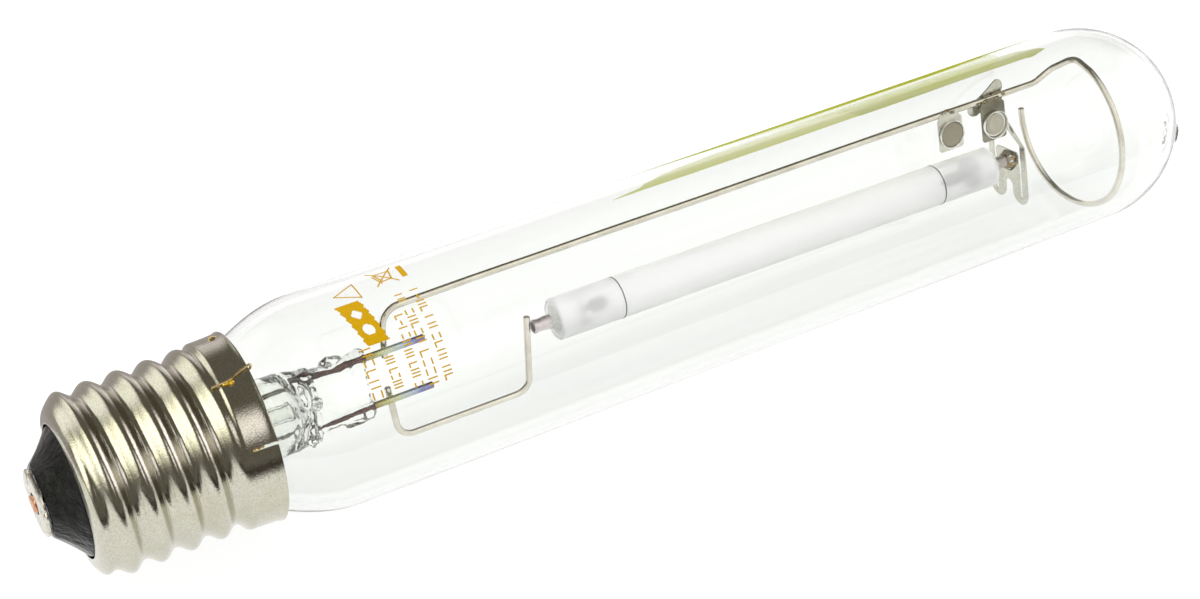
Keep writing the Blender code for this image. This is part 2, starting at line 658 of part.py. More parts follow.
def main():
    clear_scene()
    nickel = material("nickel_shell", (0.74, 0.71, 0.66), 0.22, 1.0)
    steel = material("frame_steel", (0.70, 0.67, 0.60), 0.25, 1.0)
    brass = material("brass", (0.78, 0.66, 0.34), 0.3, 1.0)
    solder = material("solder", (0.66, 0.45, 0.32), 0.35, 1.0)
    black = material("black_glass", (0.012, 0.012, 0.013), 0.12)
    glass = material("clear_glass", (0.97, 0.99, 0.97), 0.02, 0.0, 1.0, 1.47)
    rod_metal = material("tinted_tungsten", (0.45, 0.42, 0.38), 0.3, 1.0)
    lead_metal = material("lead_wire", (0.35, 0.34, 0.31), 0.4, 1.0)
    ceramic = material("alumina", (0.93, 0.92, 0.91), 0.35, 0.0, 0.3, 1.76)
    niobium = material("niobium", (0.55, 0.52, 0.53), 0.3, 1.0)
    frit = material("sealing_frit", (0.72, 0.72, 0.68), 0.3)
    tungsten = material("tungsten", (0.30, 0.29, 0.30), 0.45, 1.0)
    antenna_metal = material("antenna_tungsten", (0.16, 0.15, 0.15), 0.5, 1.0)
    alloy = material("getter_alloy", (0.42, 0.41, 0.39), 0.7, 0.6)
    amalgam = material("sodium_amalgam", (0.62, 0.62, 0.64), 0.2, 1.0)

    build_contact(steel, solder)
    build_insulator(black)
    build_shell(nickel)
    build_neck_locks(brass)
    build_side_contact(brass, solder)
    build_bulb(glass)
    frame = empty("frame_axis", rotation=(FRAME_ROLL, 0, 0))
    build_stem(glass, frame)
    build_exhaust_tube(glass, frame)
    build_leads(lead_metal, rod_metal, frame)
    build_frame_wires(steel, frame)
    build_getters(steel, alloy, frame)
    build_clip_and_connector(steel, frame)
    build_arc_tube(ceramic, niobium, frit, tungsten, antenna_metal, amalgam, frame)


main()
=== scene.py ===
"""Looks of the tubular grow lamp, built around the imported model.

The lamp lies along +X with its centre contact at the origin. Lengths in this script are in
millimetres and become metres where a mesh is made. Angles round the lamp's axis are in
degrees, measured from +Z towards -Y. The electrode frame inside the bulb has a frame of its
own, turned by FRAME_ROLL about the axis: there +Z is the side of the long wire.
"""

import math
import random

import bmesh
import bpy
from mathutils import Matrix, Vector, noise


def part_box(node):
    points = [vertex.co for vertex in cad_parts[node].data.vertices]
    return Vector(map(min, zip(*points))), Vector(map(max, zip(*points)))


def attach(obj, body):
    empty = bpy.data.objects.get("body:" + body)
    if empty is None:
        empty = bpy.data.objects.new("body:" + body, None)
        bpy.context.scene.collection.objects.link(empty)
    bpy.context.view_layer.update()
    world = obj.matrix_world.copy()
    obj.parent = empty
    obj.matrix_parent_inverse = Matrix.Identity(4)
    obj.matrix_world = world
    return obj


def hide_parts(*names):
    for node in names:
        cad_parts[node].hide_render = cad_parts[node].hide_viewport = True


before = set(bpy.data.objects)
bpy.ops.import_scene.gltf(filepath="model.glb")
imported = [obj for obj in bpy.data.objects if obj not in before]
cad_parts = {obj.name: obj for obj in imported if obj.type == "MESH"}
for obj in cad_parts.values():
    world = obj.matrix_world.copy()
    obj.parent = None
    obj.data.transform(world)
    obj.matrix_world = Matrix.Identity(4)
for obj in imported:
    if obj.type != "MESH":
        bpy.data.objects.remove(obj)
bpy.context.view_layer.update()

MM = 0.001


def node_box(name):
    """A CAD node's box in millimetres: lowest corner, highest corner."""
    low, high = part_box(name)
    return low / MM, high / MM


# ---- driving dimensions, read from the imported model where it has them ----
BULB_LOW, BULB_HIGH = node_box("outer_bulb")
SHELL_LOW, SHELL_HIGH = node_box("screw_shell")
CONTACT_HIGH = node_box("centre_contact")[1]
INSULATOR_LOW, INSULATOR_HIGH = node_box("cap_insulator")
STEM_LOW = node_box("stem_glass")[0]

SKIN = 0.05                   # the glass stops this far inside the CAD box, so the print fits on it
BULB_R = BULB_HIGH.z - SKIN
BULB_END = BULB_HIGH.x
BULB_WALL = 1.1
DOME_WALL = 1.3
NECK_R = 18.2
NECK_END_R = 16.2
SHOULDER_START = 45.5
SHOULDER_END = 62.0

PITCH = 6.35
CREST_R = 19.65
ROOT_R = 17.85
FIRST_CREST = 11.2
SHELL_WALL = 0.4
SHELL_START = SHELL_LOW.x
SHELL_START_R = 14.4
NOSE = 2.2                    # length of the shell's rounded front edge
RUN_IN = 4.2                  # the thread rises over this length
RUN_OUT = 1.8                 # and fades into the skirt over this one
SKIRT_START = 39.0
SKIRT_R = 19.95
RIM_X = SHELL_HIGH.x
RIM_R = SHELL_HIGH.z
SLIT_ANGLE = 60.0
SECOND_LOCK_ANGLE = -24.9
SIDE_WIRE_ANGLE = 15.0

FRAME_ROLL = -17.1
LEAD_SPREAD = 5.6
LEAD_R = 0.75
SEALED_LEAD_R = 0.5
PRESS_END = 72.3
WIRE_R = 0.75
WIRE_SIDE = 1.85
LONG_RUN = 13.9
SHORT_RUN = -15.8
RING_X = 254.3
RING_R = 18.8
ARC_START = 115.6
ARC_LENGTH = 115.0
ARC_R = 4.7
ARC_WALL = 0.8
ARC_DROP = -1.0
ARC_TILT = 0.6
PLUG_DEPTH = 6.2
NIOBIUM_R = 1.6
NIOBIUM_BORE_R = 1.2
NIOBIUM_OUT = 5.2
ELECTRODE_TIP = 13.5
ANTENNA_INSET = 15.3
CONNECTOR_X = 236.6
CONNECTOR_HALF = 6.9
CONNECTOR_BOTTOM = -12.8
CONNECTOR_FOLD = 2.0
CONNECTOR_SHIFT = 0.6

LAMP = Matrix.Identity(4)
FRAME = Matrix.Rotation(math.radians(FRAME_ROLL), 4, "X")
ARC_TURN = Matrix.Rotation(math.radians(ARC_TILT), 4, "Y")
ARC = FRAME @ Matrix.Translation((ARC_START, 0, ARC_DROP)) @ ARC_TURN
ARC_FAR = ARC @ Matrix.Translation((ARC_LENGTH, 0, 0)) @ Matrix.Rotation(math.pi, 4, "Z")
CONNECTOR_HEIGHT = ARC_DROP - (CONNECTOR_X - ARC_START) * math.sin(math.radians(ARC_TILT))


# ---- small numbers and curves ----
def blend(a, b, share):
    return a + (b - a) * share


def ease(share):
    share = min(max(share, 0.0), 1.0)
    return share * share * (3 - 2 * share)


def bell(distance, width):
    return math.exp(-(distance / width) ** 2)


def steps(first, last, count):
    """count + 1 even values from first to last."""
    return [blend(first, last, i / count) for i in range(count + 1)]


def arc(centre, radius, start, end, count):
    """Points (x, r) on an arc, angles in degrees from the +X direction."""
    angles = [math.radians(a) for a in steps(start, end, count)]
    return [(centre[0] + radius * math.cos(a), centre[1] + radius * math.sin(a)) for a in angles]


def round_axis(x, radius, angle):
    """A point at an angle in degrees from +Z towards -Y."""
    turn = math.radians(angle)
    return Vector((x, -radius * math.sin(turn), radius * math.cos(turn)))


def around(angle, size):
    """A place on a circle in noise space, so that a pattern meets itself after a full turn."""
    turn = math.radians(angle)
    return size * math.sin(turn), size * math.cos(turn)


def filleted(points, radius, count=9):
    """Round the inner corners of a 3-D path with arcs of one radius."""
    corners = [Vector(p) for p in points]
    path = [corners[0]]
    for before, corner, after in zip(corners, corners[1:], corners[2:]):
        towards, away = (before - corner).normalized(), (after - corner).normalized()
        half = towards.angle(away) / 2
        shorter = min((before - corner).length, (after - corner).length)
        reach = min(radius / math.tan(half), shorter * 0.49)
        size = reach * math.tan(half)
        centre = corner + (towards + away).normalized() * (size / math.sin(half))
        spoke_in, spoke_out = corner + towards * reach - centre, corner + away * reach - centre
        sweep = spoke_in.angle(spoke_out)
        for share in steps(0, 1, count):
            weight_in = math.sin((1 - share) * sweep) / math.sin(sweep)
            weight_out = math.sin(share * sweep) / math.sin(sweep)
            path.append(centre + spoke_in * weight_in + spoke_out * weight_out)
    path.append(corners[-1])
    return path


def resampled(path, spacing):
    """The same path with a point at least every spacing millimetres."""
    dense = [Vector(path[0])]
    for start, end in zip(path, path[1:]):
        start, end = Vector(start), Vector(end)
        count = max(1, math.ceil((end - start).length / spacing))
        dense += [start.lerp(end, i / count) for i in range(1, count + 1)]
    return dense


# ---- solids: (points, faces) in millimetres ----
def joined(*solids):
    points, faces = [], []
    for more_points, more_faces in solids:
        offset = len(points)
        points += more_points
        faces += [tuple(i + offset for i in face) for face in more_faces]
    return points, faces


def skinned(rings, closed=False):
    """Faces over a list of rings of points; a ring of one point is a pole."""
    points, starts = [], []
    for ring in rings:
        starts.append(len(points))
        points += ring
    faces = []
    pairs = list(zip(range(len(rings)), range(1, len(rings))))
    if closed:
        pairs.append((len(rings) - 1, 0))
    for first, second in pairs:
        a, b = starts[first], starts[second]
        count = max(len(rings[first]), len(rings[second]))
        if count == 1:
            continue
        for i in range(count):
            j = (i + 1) % count
            if len(rings[first]) == 1:
                faces.append((a, b + i, b + j))
            elif len(rings[second]) == 1:
                faces.append((a + i, b, a + j))
            else:
                faces.append((a + i, b + i, b + j, a + j))
    return points, faces


def turned(profile, segments=64, shape=None, closed=False):
    """Turn a profile of (x, radius) points about X; shape(x, radius, angle) may deform it."""
    rings = []
    for x, radius in profile:
        if radius == 0:
            rings.append([Vector((x, 0, 0))])
            continue
        ring = []
        for i in range(segments):
            angle = 360 * i / segments
            place = shape(x, radius, angle) if shape else (x, radius)
            ring.append(round_axis(*place, angle))
        rings.append(ring)
    return skinned(rings, closed)


def swept(path, radius, sides=16):
    """A wire with rounded ends along a path; radius is a number or radius(share, point)."""
    path = [Vector(p) for p in path]
    size = radius if callable(radius) else lambda share, point: radius
    turns = [2 * math.pi * k / sides for k in range(sides)]
    last = len(path) - 1
    bulge, tip = 0.35, 0.38    # how far an end's last rings and its pole stand out, in radii

    def ring(centre, across, up, r):
        return [centre + (across * math.cos(t) + up * math.sin(t)) * r for t in turns]

    side = (path[1] - path[0]).normalized().orthogonal().normalized()
    rings, frames = [], []
    for i, point in enumerate(path):
        ahead = (path[min(i + 1, last)] - path[max(i - 1, 0)]).normalized()
        side = (side - ahead * side.dot(ahead)).normalized()
        frames.append((point, ahead, side, ahead.cross(side)))
        rings.append(ring(point, side, frames[-1][3], size(i / last, point)))
    for share, sign in ((0, -1), (1, 1)):
        point, ahead, across, up = frames[last * share]
        r = size(share, point)
        end = [ring(point + ahead * sign * r * bulge * part, across, up, r * math.cos(math.asin(part) * 0.98))
               for part in (0.75, 0.95)]
        end.append([point + ahead * sign * r * tip])
        rings = rings + end if share else end[::-1] + rings
    return skinned(rings)


def blob(centre, radii, seed=0, lumps=0.18, detail=3):
    """A lumpy bead."""
    bm = bmesh.new()
    bmesh.ops.create_icosphere(bm, subdivisions=detail, radius=1.0)
    points = []
    for vert in bm.verts:
        swell = 1 + lumps * noise.noise(vert.co * 1.7 + Vector((seed * 3.1, seed, 0)))
        points.append(Vector(centre) + Vector([vert.co[k] * radii[k] * swell for k in range(3)]))
    faces = [tuple(v.index for v in face.verts) for face in bm.faces]
    bm.free()
    return points, faces


def plate(outline, thickness, place, holes=(), finer=1.0, soften=0.06):
    """A flat sheet with rounded edges: place(u, v, w) puts its own plane in space, w across it."""
    bm = bmesh.new()
    edges = []
    for loop in [list(outline)] + [list(hole) for hole in holes]:
        verts = [bm.verts.new(Vector((u, v, 0.0))) for u, v in loop]
        edges += [bm.edges.new((verts[i - 1], verts[i])) for i in range(len(verts))]
    filled = bmesh.ops.triangle_fill(bm, edges=edges, use_beauty=True)
    faces = [item for item in filled["geom"] if isinstance(item, bmesh.types.BMFace)]
    raised = bmesh.ops.extrude_face_region(bm, geom=faces)
    for item in raised["geom"]:
        if isinstance(item, bmesh.types.BMVert):
            item.co.z = thickness
    rims = [e for e in bm.edges if len(e.link_faces) == 2 and e.calc_face_angle() > 1.2]
    bmesh.ops.bevel(bm, geom=rims, offset=soften, segments=2, affect="EDGES", profile=0.5)
    bmesh.ops.triangulate(bm, faces=bm.faces)
    for _ in range(2):
        long_edges = [e for e in bm.edges if e.calc_length() > finer]
        if long_edges:
            bmesh.ops.subdivide_edges(bm, edges=long_edges, cuts=1)
            bmesh.ops.triangulate(bm, faces=bm.faces)
    bm.verts.index_update()
    points = [Vector(place(*vert.co)) for vert in bm.verts]
    polygons = [tuple(v.index for v in face.verts) for face in bm.faces]
    bm.free()
    return points, polygons


def moved(solid, matrix):
    points, faces = solid
    return [matrix @ p for p in points], faces


def make_object(name, solid, finish, sharp=40.0):
    """A mesh object with a finish by name; edges over sharp degrees stay sharp."""
    points, faces = solid
    mesh = bpy.data.meshes.new(name)
    mesh.from_pydata([p * MM for p in points], [], faces)
    bm = bmesh.new()
    bm.from_mesh(mesh)
    bmesh.ops.recalc_face_normals(bm, faces=bm.faces)
    bm.to_mesh(mesh)
    bm.free()
    mesh.shade_smooth()
    mesh.set_sharp_from_angle(angle=math.radians(sharp))
    mesh.materials.append(MADE[finish])
    shown = bpy.data.objects.new(name, mesh)
    bpy.context.scene.collection.objects.link(shown)
    return shown


def declare(shown, stands_for):
    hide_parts(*stands_for)
    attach(shown, "root")


def show(name, solid, finish, stands_for=(), place=LAMP, sharp=40.0):
    """Make a piece of the lamp from a solid, put it in place and tie it to the CAD body."""
    declare(make_object(name, moved(solid, place), finish, sharp), stands_for)


# ---- materials ----
MADE = {}    # finished materials by name; the CAD's plain materials already have some of these names


class Nodes:
    """A node tree and the patterns that the finishes and the studio share."""

    def __init__(self, tree):
        self.tree = tree

    def add(self, kind, **settings):
        node = self.tree.nodes.new(kind)
        for label, value in settings.items():
            setattr(node, label, value)
        return node

    def link(self, start, end):
        self.tree.links.new(start, end)

    def fill(self, socket, value):
        """Set a number or a colour on a socket, or link another node to it."""
        if isinstance(value, tuple):
            socket.default_value = (*value, 1.0)
        elif isinstance(value, (int, float)):
            socket.default_value = value
        else:
            self.link(value, socket)

    def spread(self, value, low, high, start=0.3, end=0.7, **settings):
        """Map start to end onto low to high."""
        node = self.add("ShaderNodeMapRange", **settings)
        for label, number in (("From Min", start), ("From Max", end), ("To Min", low), ("To Max", high)):
            node.inputs[label].default_value = number
        self.link(value, node.inputs["Value"])
        return node.outputs["Result"]

    def mix(self, share, first, second):
        node = self.add("ShaderNodeMix", data_type="RGBA")
        self.link(share, node.inputs["Factor"])
        for label, value in (("A", first), ("B", second)):
            self.fill([s for s in node.inputs if s.name == label and s.type == "RGBA"][0], value)
        return [s for s in node.outputs if s.type == "RGBA"][0]

    def maths(self, operation, first, second):
        node = self.add("ShaderNodeMath", operation=operation)
        self.fill(node.inputs[0], first)
        self.fill(node.inputs[1], second)
        return node.outputs["Value"]


class Paint(Nodes):
    """A Principled material; lengths are millimetres on the object."""

    def __init__(self, name, color, roughness, metallic=0.0, **sockets):
        self.mat = MADE[name] = bpy.data.materials.new(name)
        self.mat.use_nodes = True
        super().__init__(self.mat.node_tree)
        self.shader = self.tree.nodes["Principled BSDF"]
        self.set("Base Color", (*color, 1.0))
        self.set("Roughness", roughness)
        self.set("Metallic", metallic)
        for label, value in sockets.items():
            self.set(label.replace("_", " "), value)
        self.coords = self.add("ShaderNodeTexCoord").outputs["Object"]

    def set(self, socket, value):
        self.shader.inputs[socket].default_value = value

    def noise(self, size, stretch=(1, 1, 1), detail=3.0, rough=0.55):
        """Noise with features about size millimetres across; stretch under 1 draws them out."""
        mapping = self.add("ShaderNodeMapping")
        mapping.inputs["Scale"].default_value = stretch
        self.link(self.coords, mapping.inputs["Vector"])
        node = self.add("ShaderNodeTexNoise")
        for label, number in (("Scale", 1 / (size * MM)), ("Detail", detail), ("Roughness", rough)):
            node.inputs[label].default_value = number
        self.link(mapping.outputs["Vector"], node.inputs["Vector"])
        return node.outputs["Fac"]

    def ramp(self, value, stops):
        node = self.add("ShaderNodeValToRGB")
        elements = node.color_ramp.elements
        while len(elements) < len(stops):
            elements.new(0.5)
        for element, (place, color) in zip(elements, stops):
            element.position = place
            element.color = (*color, 1.0)
        self.link(value, node.inputs["Fac"])
        return node.outputs["Color"]

    def along(self, start, end, wander):
        """0 at x = start and 1 at x = end along the lamp, give or take wander."""
        split = self.add("ShaderNodeSeparateXYZ")
        self.link(self.coords, split.inputs["Vector"])
        return self.maths("ADD", self.spread(split.outputs["X"], 0, 1, start * MM, end * MM), wander)

    def color(self, socket):
        self.link(socket, self.shader.inputs["Base Color"])

    def roughness(self, socket):
        self.link(socket, self.shader.inputs["Roughness"])

    def bump(self, *heights):
        """Each height is (socket, distance in millimetres)."""
        normal = None
        for height, distance in heights:
            node = self.add("ShaderNodeBump")
            node.inputs["Distance"].default_value = distance * MM
            node.inputs["Strength"].default_value = 1.0
            self.link(height, node.inputs["Height"])
            if normal is not None:
                self.link(normal, node.inputs["Normal"])
            normal = node.outputs["Normal"]
        self.link(normal, self.shader.inputs["Normal"])

    def let_lamps_through(self, tint):
        """Light from lamps and sky reaches what is behind the glass."""
        clear = self.add("ShaderNodeBsdfTransparent")
        clear.inputs["Color"].default_value = (*tint, 1.0)
        either = self.add("ShaderNodeMixShader")
        self.link(self.add("ShaderNodeLightPath").outputs["Is Shadow Ray"], either.inputs["Fac"])
        self.link(self.shader.outputs["BSDF"], either.inputs[1])
        self.link(clear.outputs["BSDF"], either.inputs[2])
        self.link(either.outputs["Shader"], self.tree.nodes["Material Output"].inputs["Surface"])


EVEN = (1, 1, 1)
GLASS = {"IOR": 1.47, "Transmission_Weight": 1.0}
STEM_GLASS = {"IOR": 1.52, "Transmission_Weight": 1.0}
CERAMIC = {"IOR": 1.25, "Transmission_Weight": 0.66}
FRIT = {"IOR": 1.6, "Transmission_Weight": 0.2}

# name: base colour, roughness and metallic; noises (size, stretch, detail); stops of the ramp over
# the first noise; roughness (noise, low, high); bumps (noise, depth); tint of the light let
# through; other sockets
FINISHES = {
    "contact_plate": (((0.62, 0.60, 0.52), 0.25, 1.0), [(1.1, EVEN, 6), (0.35, EVEN, 4)],
        [(0.35, (0.42, 0.39, 0.33)), (0.5, (0.62, 0.60, 0.52)), (0.7, (0.70, 0.68, 0.60))],
        (0, 0.38, 0.2), [(1, 0.02)]),
    "soldered_lead": (((0.72, 0.42, 0.28), 0.3, 1.0), [(0.7, EVEN, 5)],
        [(0.35, (0.45, 0.20, 0.11)), (0.6, (0.80, 0.44, 0.28)), (0.8, (0.86, 0.66, 0.48))],
        None, [(0, 0.05)]),
    "drawn_brass": (((0.80, 0.62, 0.28), 0.22, 1.0), [(0.9, EVEN, 5), (0.15, (0.2, 1, 1), 3)],
        [(0.3, (0.52, 0.36, 0.13)), (0.55, (0.86, 0.68, 0.34)), (0.8, (0.92, 0.80, 0.50))],
        None, [(1, 0.006)]),
    "yellow_bead": (((0.93, 0.62, 0.06), 0.12, 0.75), [(0.5, EVEN, 4)],
        [(0.35, (0.70, 0.36, 0.02)), (0.6, (0.95, 0.68, 0.10)), (0.8, (1.0, 0.88, 0.40))],
        None, [(0, 0.03)]),
    "black_glass": (((0.006, 0.006, 0.006), 0.1), [(2.6, (0.22, 1, 1), 5), (0.35, EVEN, 3)],
        [(0.35, (0.004, 0.004, 0.004)), (0.62, (0.012, 0.012, 0.011)), (0.72, (0.024, 0.025, 0.024))],
        (0, 0.03, 0.1), [(0, 0.75), (1, 0.005)], None, {"IOR": 1.24}),
    "bulb_glass": (((0.965, 0.975, 0.965), 0.0), [(6.0, (0.06, 1, 1), 2)],
        [(0.3, (0.945, 0.955, 0.945)), (0.7, (0.972, 0.979, 0.968))],
        None, [(0, 0.018)], (0.955, 0.967, 0.958), GLASS),
    "stem_glass": (((0.975, 0.985, 0.965), 0.0), [(1.4, EVEN, 4)],
        [(0.3, (0.955, 0.975, 0.94)), (0.7, (0.985, 0.992, 0.975))],
        None, [(0, 0.03)], (0.95, 0.96, 0.94), STEM_GLASS),
    "lead_wire": (((0.30, 0.28, 0.23), 0.3, 1.0), [(0.6, (0.15, 1, 1), 4)],
        [(0.3, (0.05, 0.047, 0.036)), (0.7, (0.17, 0.165, 0.135))], None, [(0, 0.01)]),
    "frame_wire": (((0.76, 0.72, 0.64), 0.2, 1.0), [(4.0, EVEN, 3), (0.35, (0.08, 1, 1), 4)],
        [(0.3, (0.64, 0.605, 0.52)), (0.7, (0.79, 0.755, 0.68))], (1, 0.08, 0.18), [(1, 0.005)]),
    "frame_sheet": (((0.62, 0.61, 0.54), 0.25, 1.0), [(2.2, EVEN, 4), (0.5, (1, 0.15, 1), 5)],
        [(0.25, (0.56, 0.55, 0.48)), (0.55, (0.65, 0.64, 0.57)), (0.8, (0.72, 0.71, 0.65))],
        (1, 0.16, 0.32), [(1, 0.003), (0, 0.015)]),
    "dark_holder": (((0.33, 0.32, 0.29), 0.3, 1.0), [(3.5, EVEN, 3), (0.5, (1, 0.15, 1), 4)],
        [(0.3, (0.175, 0.165, 0.125)), (0.75, (0.34, 0.325, 0.255))], None, [(1, 0.003)]),
    "getter_cup": (((0.84, 0.83, 0.80), 0.22, 1.0), [(0.8, EVEN, 3)],
        [(0.3, (0.78, 0.77, 0.73)), (0.7, (0.90, 0.89, 0.86))], None, [(0, 0.01)]),
    # heat-stained metal round the spot welds: gold, brown and blue
    "weld_stain": (((0.40, 0.33, 0.22), 0.26, 1.0), [(0.9, EVEN, 4), (0.3, EVEN, 4)],
        [(0.30, (0.05, 0.04, 0.03)), (0.44, (0.24, 0.16, 0.07)), (0.52, (0.50, 0.38, 0.17)),
        (0.60, (0.16, 0.22, 0.27)), (0.75, (0.40, 0.37, 0.30))], None, [(1, 0.03)]),
    "alumina": (((0.99, 0.985, 0.99), 0.36), [(5.0, (0.3, 1, 1), 4), (0.12, EVEN, 3)],
        [(0.3, (0.985, 0.975, 0.99)), (0.7, (1.0, 0.998, 1.0))],
        (1, 0.3, 0.42), [(1, 0.004)], (0.97, 0.97, 0.98), CERAMIC),
    "niobium": (((0.52, 0.47, 0.475), 0.3, 1.0), [(1.5, EVEN, 3), (0.4, (0.12, 1, 1), 5)],
        [(0.3, (0.47, 0.42, 0.42)), (0.6, (0.70, 0.645, 0.65)), (0.8, (0.78, 0.735, 0.74))],
        (1, 0.24, 0.42), [(1, 0.01)]),
    "sealing_frit": (((0.78, 0.78, 0.74), 0.3), [(0.6, EVEN, 4)],
        [(0.3, (0.66, 0.66, 0.61)), (0.7, (0.86, 0.86, 0.83))], None, [(0, 0.03)], None, FRIT),
    "emitter_tungsten": (((0.16, 0.15, 0.16), 0.5, 0.8), [(0.2, EVEN, 4)],
        [(0.3, (0.08, 0.075, 0.08)), (0.7, (0.26, 0.25, 0.26))], None, [(0, 0.02)]),
    "antenna_line": (((0.09, 0.08, 0.08), 0.5, 0.6), [(0.1, EVEN, 3)],
        [(0.3, (0.05, 0.045, 0.045)), (0.7, (0.15, 0.14, 0.14))], None, [(0, 0.006)]),
    "sodium_amalgam": (((0.62, 0.62, 0.64), 0.2, 1.0), [(0.4, EVEN, 3)],
        [(0.3, (0.50, 0.50, 0.52)), (0.7, (0.70, 0.70, 0.72))], None, [(0, 0.02)]),
    "amber_enamel": (((0.54, 0.28, 0.0), 0.6), [(0.3, EVEN, 4)],
        [(0.3, (0.46, 0.25, 0.0)), (0.7, (0.58, 0.34, 0.0))], None, [(0, 0.006)], None, {"IOR": 1.2}),
}


def noise_paint(name, base, noises, tones, rough, bumps, clear=None, sockets=None):
    """A finish from one row of the table."""
    paint = Paint(name, *base, **(sockets or {}))
    fields = [paint.noise(*settings) for settings in noises]
    paint.color(paint.ramp(fields[0], tones))
    if rough:
        paint.roughness(paint.spread(fields[rough[0]], *rough[1:]))
    paint.bump(*[(fields[index], depth) for index, depth in bumps])
    if clear:
        paint.let_lamps_through(clear)


def nickel_paint():
    """Plating with clouds, fine grain and marks rubbed round the thread."""
    paint = Paint("nickel_plate", (0.62, 0.59, 0.53), 0.2, 1.0)
    cloud = paint.noise(7.0, detail=4)
    grain = paint.noise(0.34, detail=2, rough=0.7)
    rubbed = paint.noise(1.2, (1, 0.12, 0.12), detail=5)
    plated = paint.ramp(cloud, [(0.3, (0.55, 0.54, 0.425)), (0.55, (0.60, 0.59, 0.49)),
                                (0.75, (0.595, 0.575, 0.51))])
    paint.color(paint.mix(paint.spread(grain, 0.0, 0.42, 0.40, 0.66), plated, (0.33, 0.295, 0.25)))
    paint.roughness(paint.maths("ADD", paint.spread(grain, 0.05, 0.14), paint.spread(rubbed, 0.0, 0.04)))
    paint.bump((paint.noise(9.0, detail=1), 0.05), (rubbed, 0.003), (grain, 0.03))


def tinted_paint():
    """Tungsten rods: maroon where glass is sealed on them, then gold, pale green, blue and violet."""
    paint = Paint("heat_tinted_rod", (0.45, 0.42, 0.38), 0.24, 1.0)
    wander = paint.spread(paint.noise(1.6, detail=3), -0.035, 0.035)
    paint.color(paint.ramp(paint.along(58.0, 87.0, wander), [
        (0.00, (0.05, 0.022, 0.018)), (0.25, (0.11, 0.045, 0.036)), (0.46, (0.13, 0.055, 0.045)),
        (0.505, (0.36, 0.29, 0.12)), (0.60, (0.50, 0.50, 0.25)), (0.68, (0.56, 0.60, 0.44)),
        (0.77, (0.42, 0.50, 0.60)), (0.87, (0.22, 0.25, 0.50)), (0.94, (0.26, 0.20, 0.34)),
        (1.00, (0.30, 0.19, 0.14))]))
    scratch = paint.noise(0.2, (0.1, 1, 1), detail=4)
    paint.roughness(paint.spread(scratch, 0.18, 0.36))
    paint.bump((scratch, 0.008))


def plug_paint():
    """Denser alumina, with painted shade on the end that faces the discharge."""
    paint = Paint("alumina_plug", (0.99, 0.985, 0.99), 0.36, IOR=1.25, Transmission_Weight=0.12)
    wander = paint.spread(paint.noise(2.2, detail=3), -0.008, 0.008)
    # painted shade: lilac grey from the plug's inner end onwards, standing in for the shade seen through the
    # ceramic
    white, painted_shade = (0.99, 0.985, 0.995), (0.34, 0.32, 0.37)
    paint.color(paint.ramp(paint.along(ARC_START, ARC_START + ARC_LENGTH, wander), [
        (0.0, white), (0.036, white), (0.055, painted_shade), (0.945, painted_shade), (0.964, white)]))
    paint.let_lamps_through((0.97, 0.97, 0.98))


def getter_paint(name, dark, light):
    """Pressed powder with darker and lighter stains."""
    paint = Paint(name, dark, 0.55, 0.85)
    pressed = paint.noise(0.22, detail=5)
    stain = paint.noise(1.8, detail=3)
    paint.color(paint.mix(paint.spread(stain, 0, 1, 0.42, 0.56),
                          paint.ramp(pressed, [(0.3, dark), (0.7, light)]), tuple(c * 1.25 for c in dark)))
    paint.roughness(paint.spread(pressed, 0.42, 0.7))
    paint.bump((pressed, 0.02))


def make_finishes():
    for name, row in FINISHES.items():
        noise_paint(name, *row)
    nickel_paint()
    tinted_paint()
    plug_paint()
    getter_paint("getter_alloy_1", (0.31, 0.285, 0.21), (0.46, 0.43, 0.325))
    getter_paint("getter_alloy_2", (0.50, 0.47, 0.39), (0.68, 0.64, 0.55))


# ---- cap ----
def shell_radius(x, angle):
    """Outer radius of the rolled shell at x and at an angle about the axis."""
    share = min(max((x - SHELL_START) / NOSE, 0.0), 1.0)
    edge = SHELL_START_R + (ROOT_R - SHELL_START_R) * math.sqrt(share * (2 - share))
    skirt = ease((x - SKIRT_START + RUN_OUT) / RUN_OUT)
    flare = min(max(0.0, (x - SKIRT_START) / (RIM_X - SKIRT_START)), 1.0)
    base = blend(edge, SKIRT_R, skirt) + (RIM_R - SKIRT_R) * (0.45 * flare ** 1.5 + 0.55 * flare ** 11)
    crest = FIRST_CREST + PITCH * angle / 360
    turns = (x - crest) / PITCH
    from_root = abs((turns % 1.0) - 0.5) * PITCH
    rise = ease((x - SHELL_START) / RUN_IN)
    wave = 0.5 * (1 + math.cos(2 * math.pi * turns))
    creases = 0.075 * bell(from_root - 0.34, 0.11) + 0.04 * bell(from_root - 1.05, 0.1)
    dents = 0.05 * noise.noise(Vector((x * 0.11, *around(angle, 2.2))))
    knuckle = rise * (1 - skirt)
    return base + knuckle * ((CREST_R - ROOT_R) * wave - creases) + (dents - 0.05) * rise


def on_shell(x, angle, lift, turn=0.0):
    """A point lifted off the shell, then turned by a few degrees."""
    return round_axis(x, shell_radius(x, angle) + lift, angle + turn)


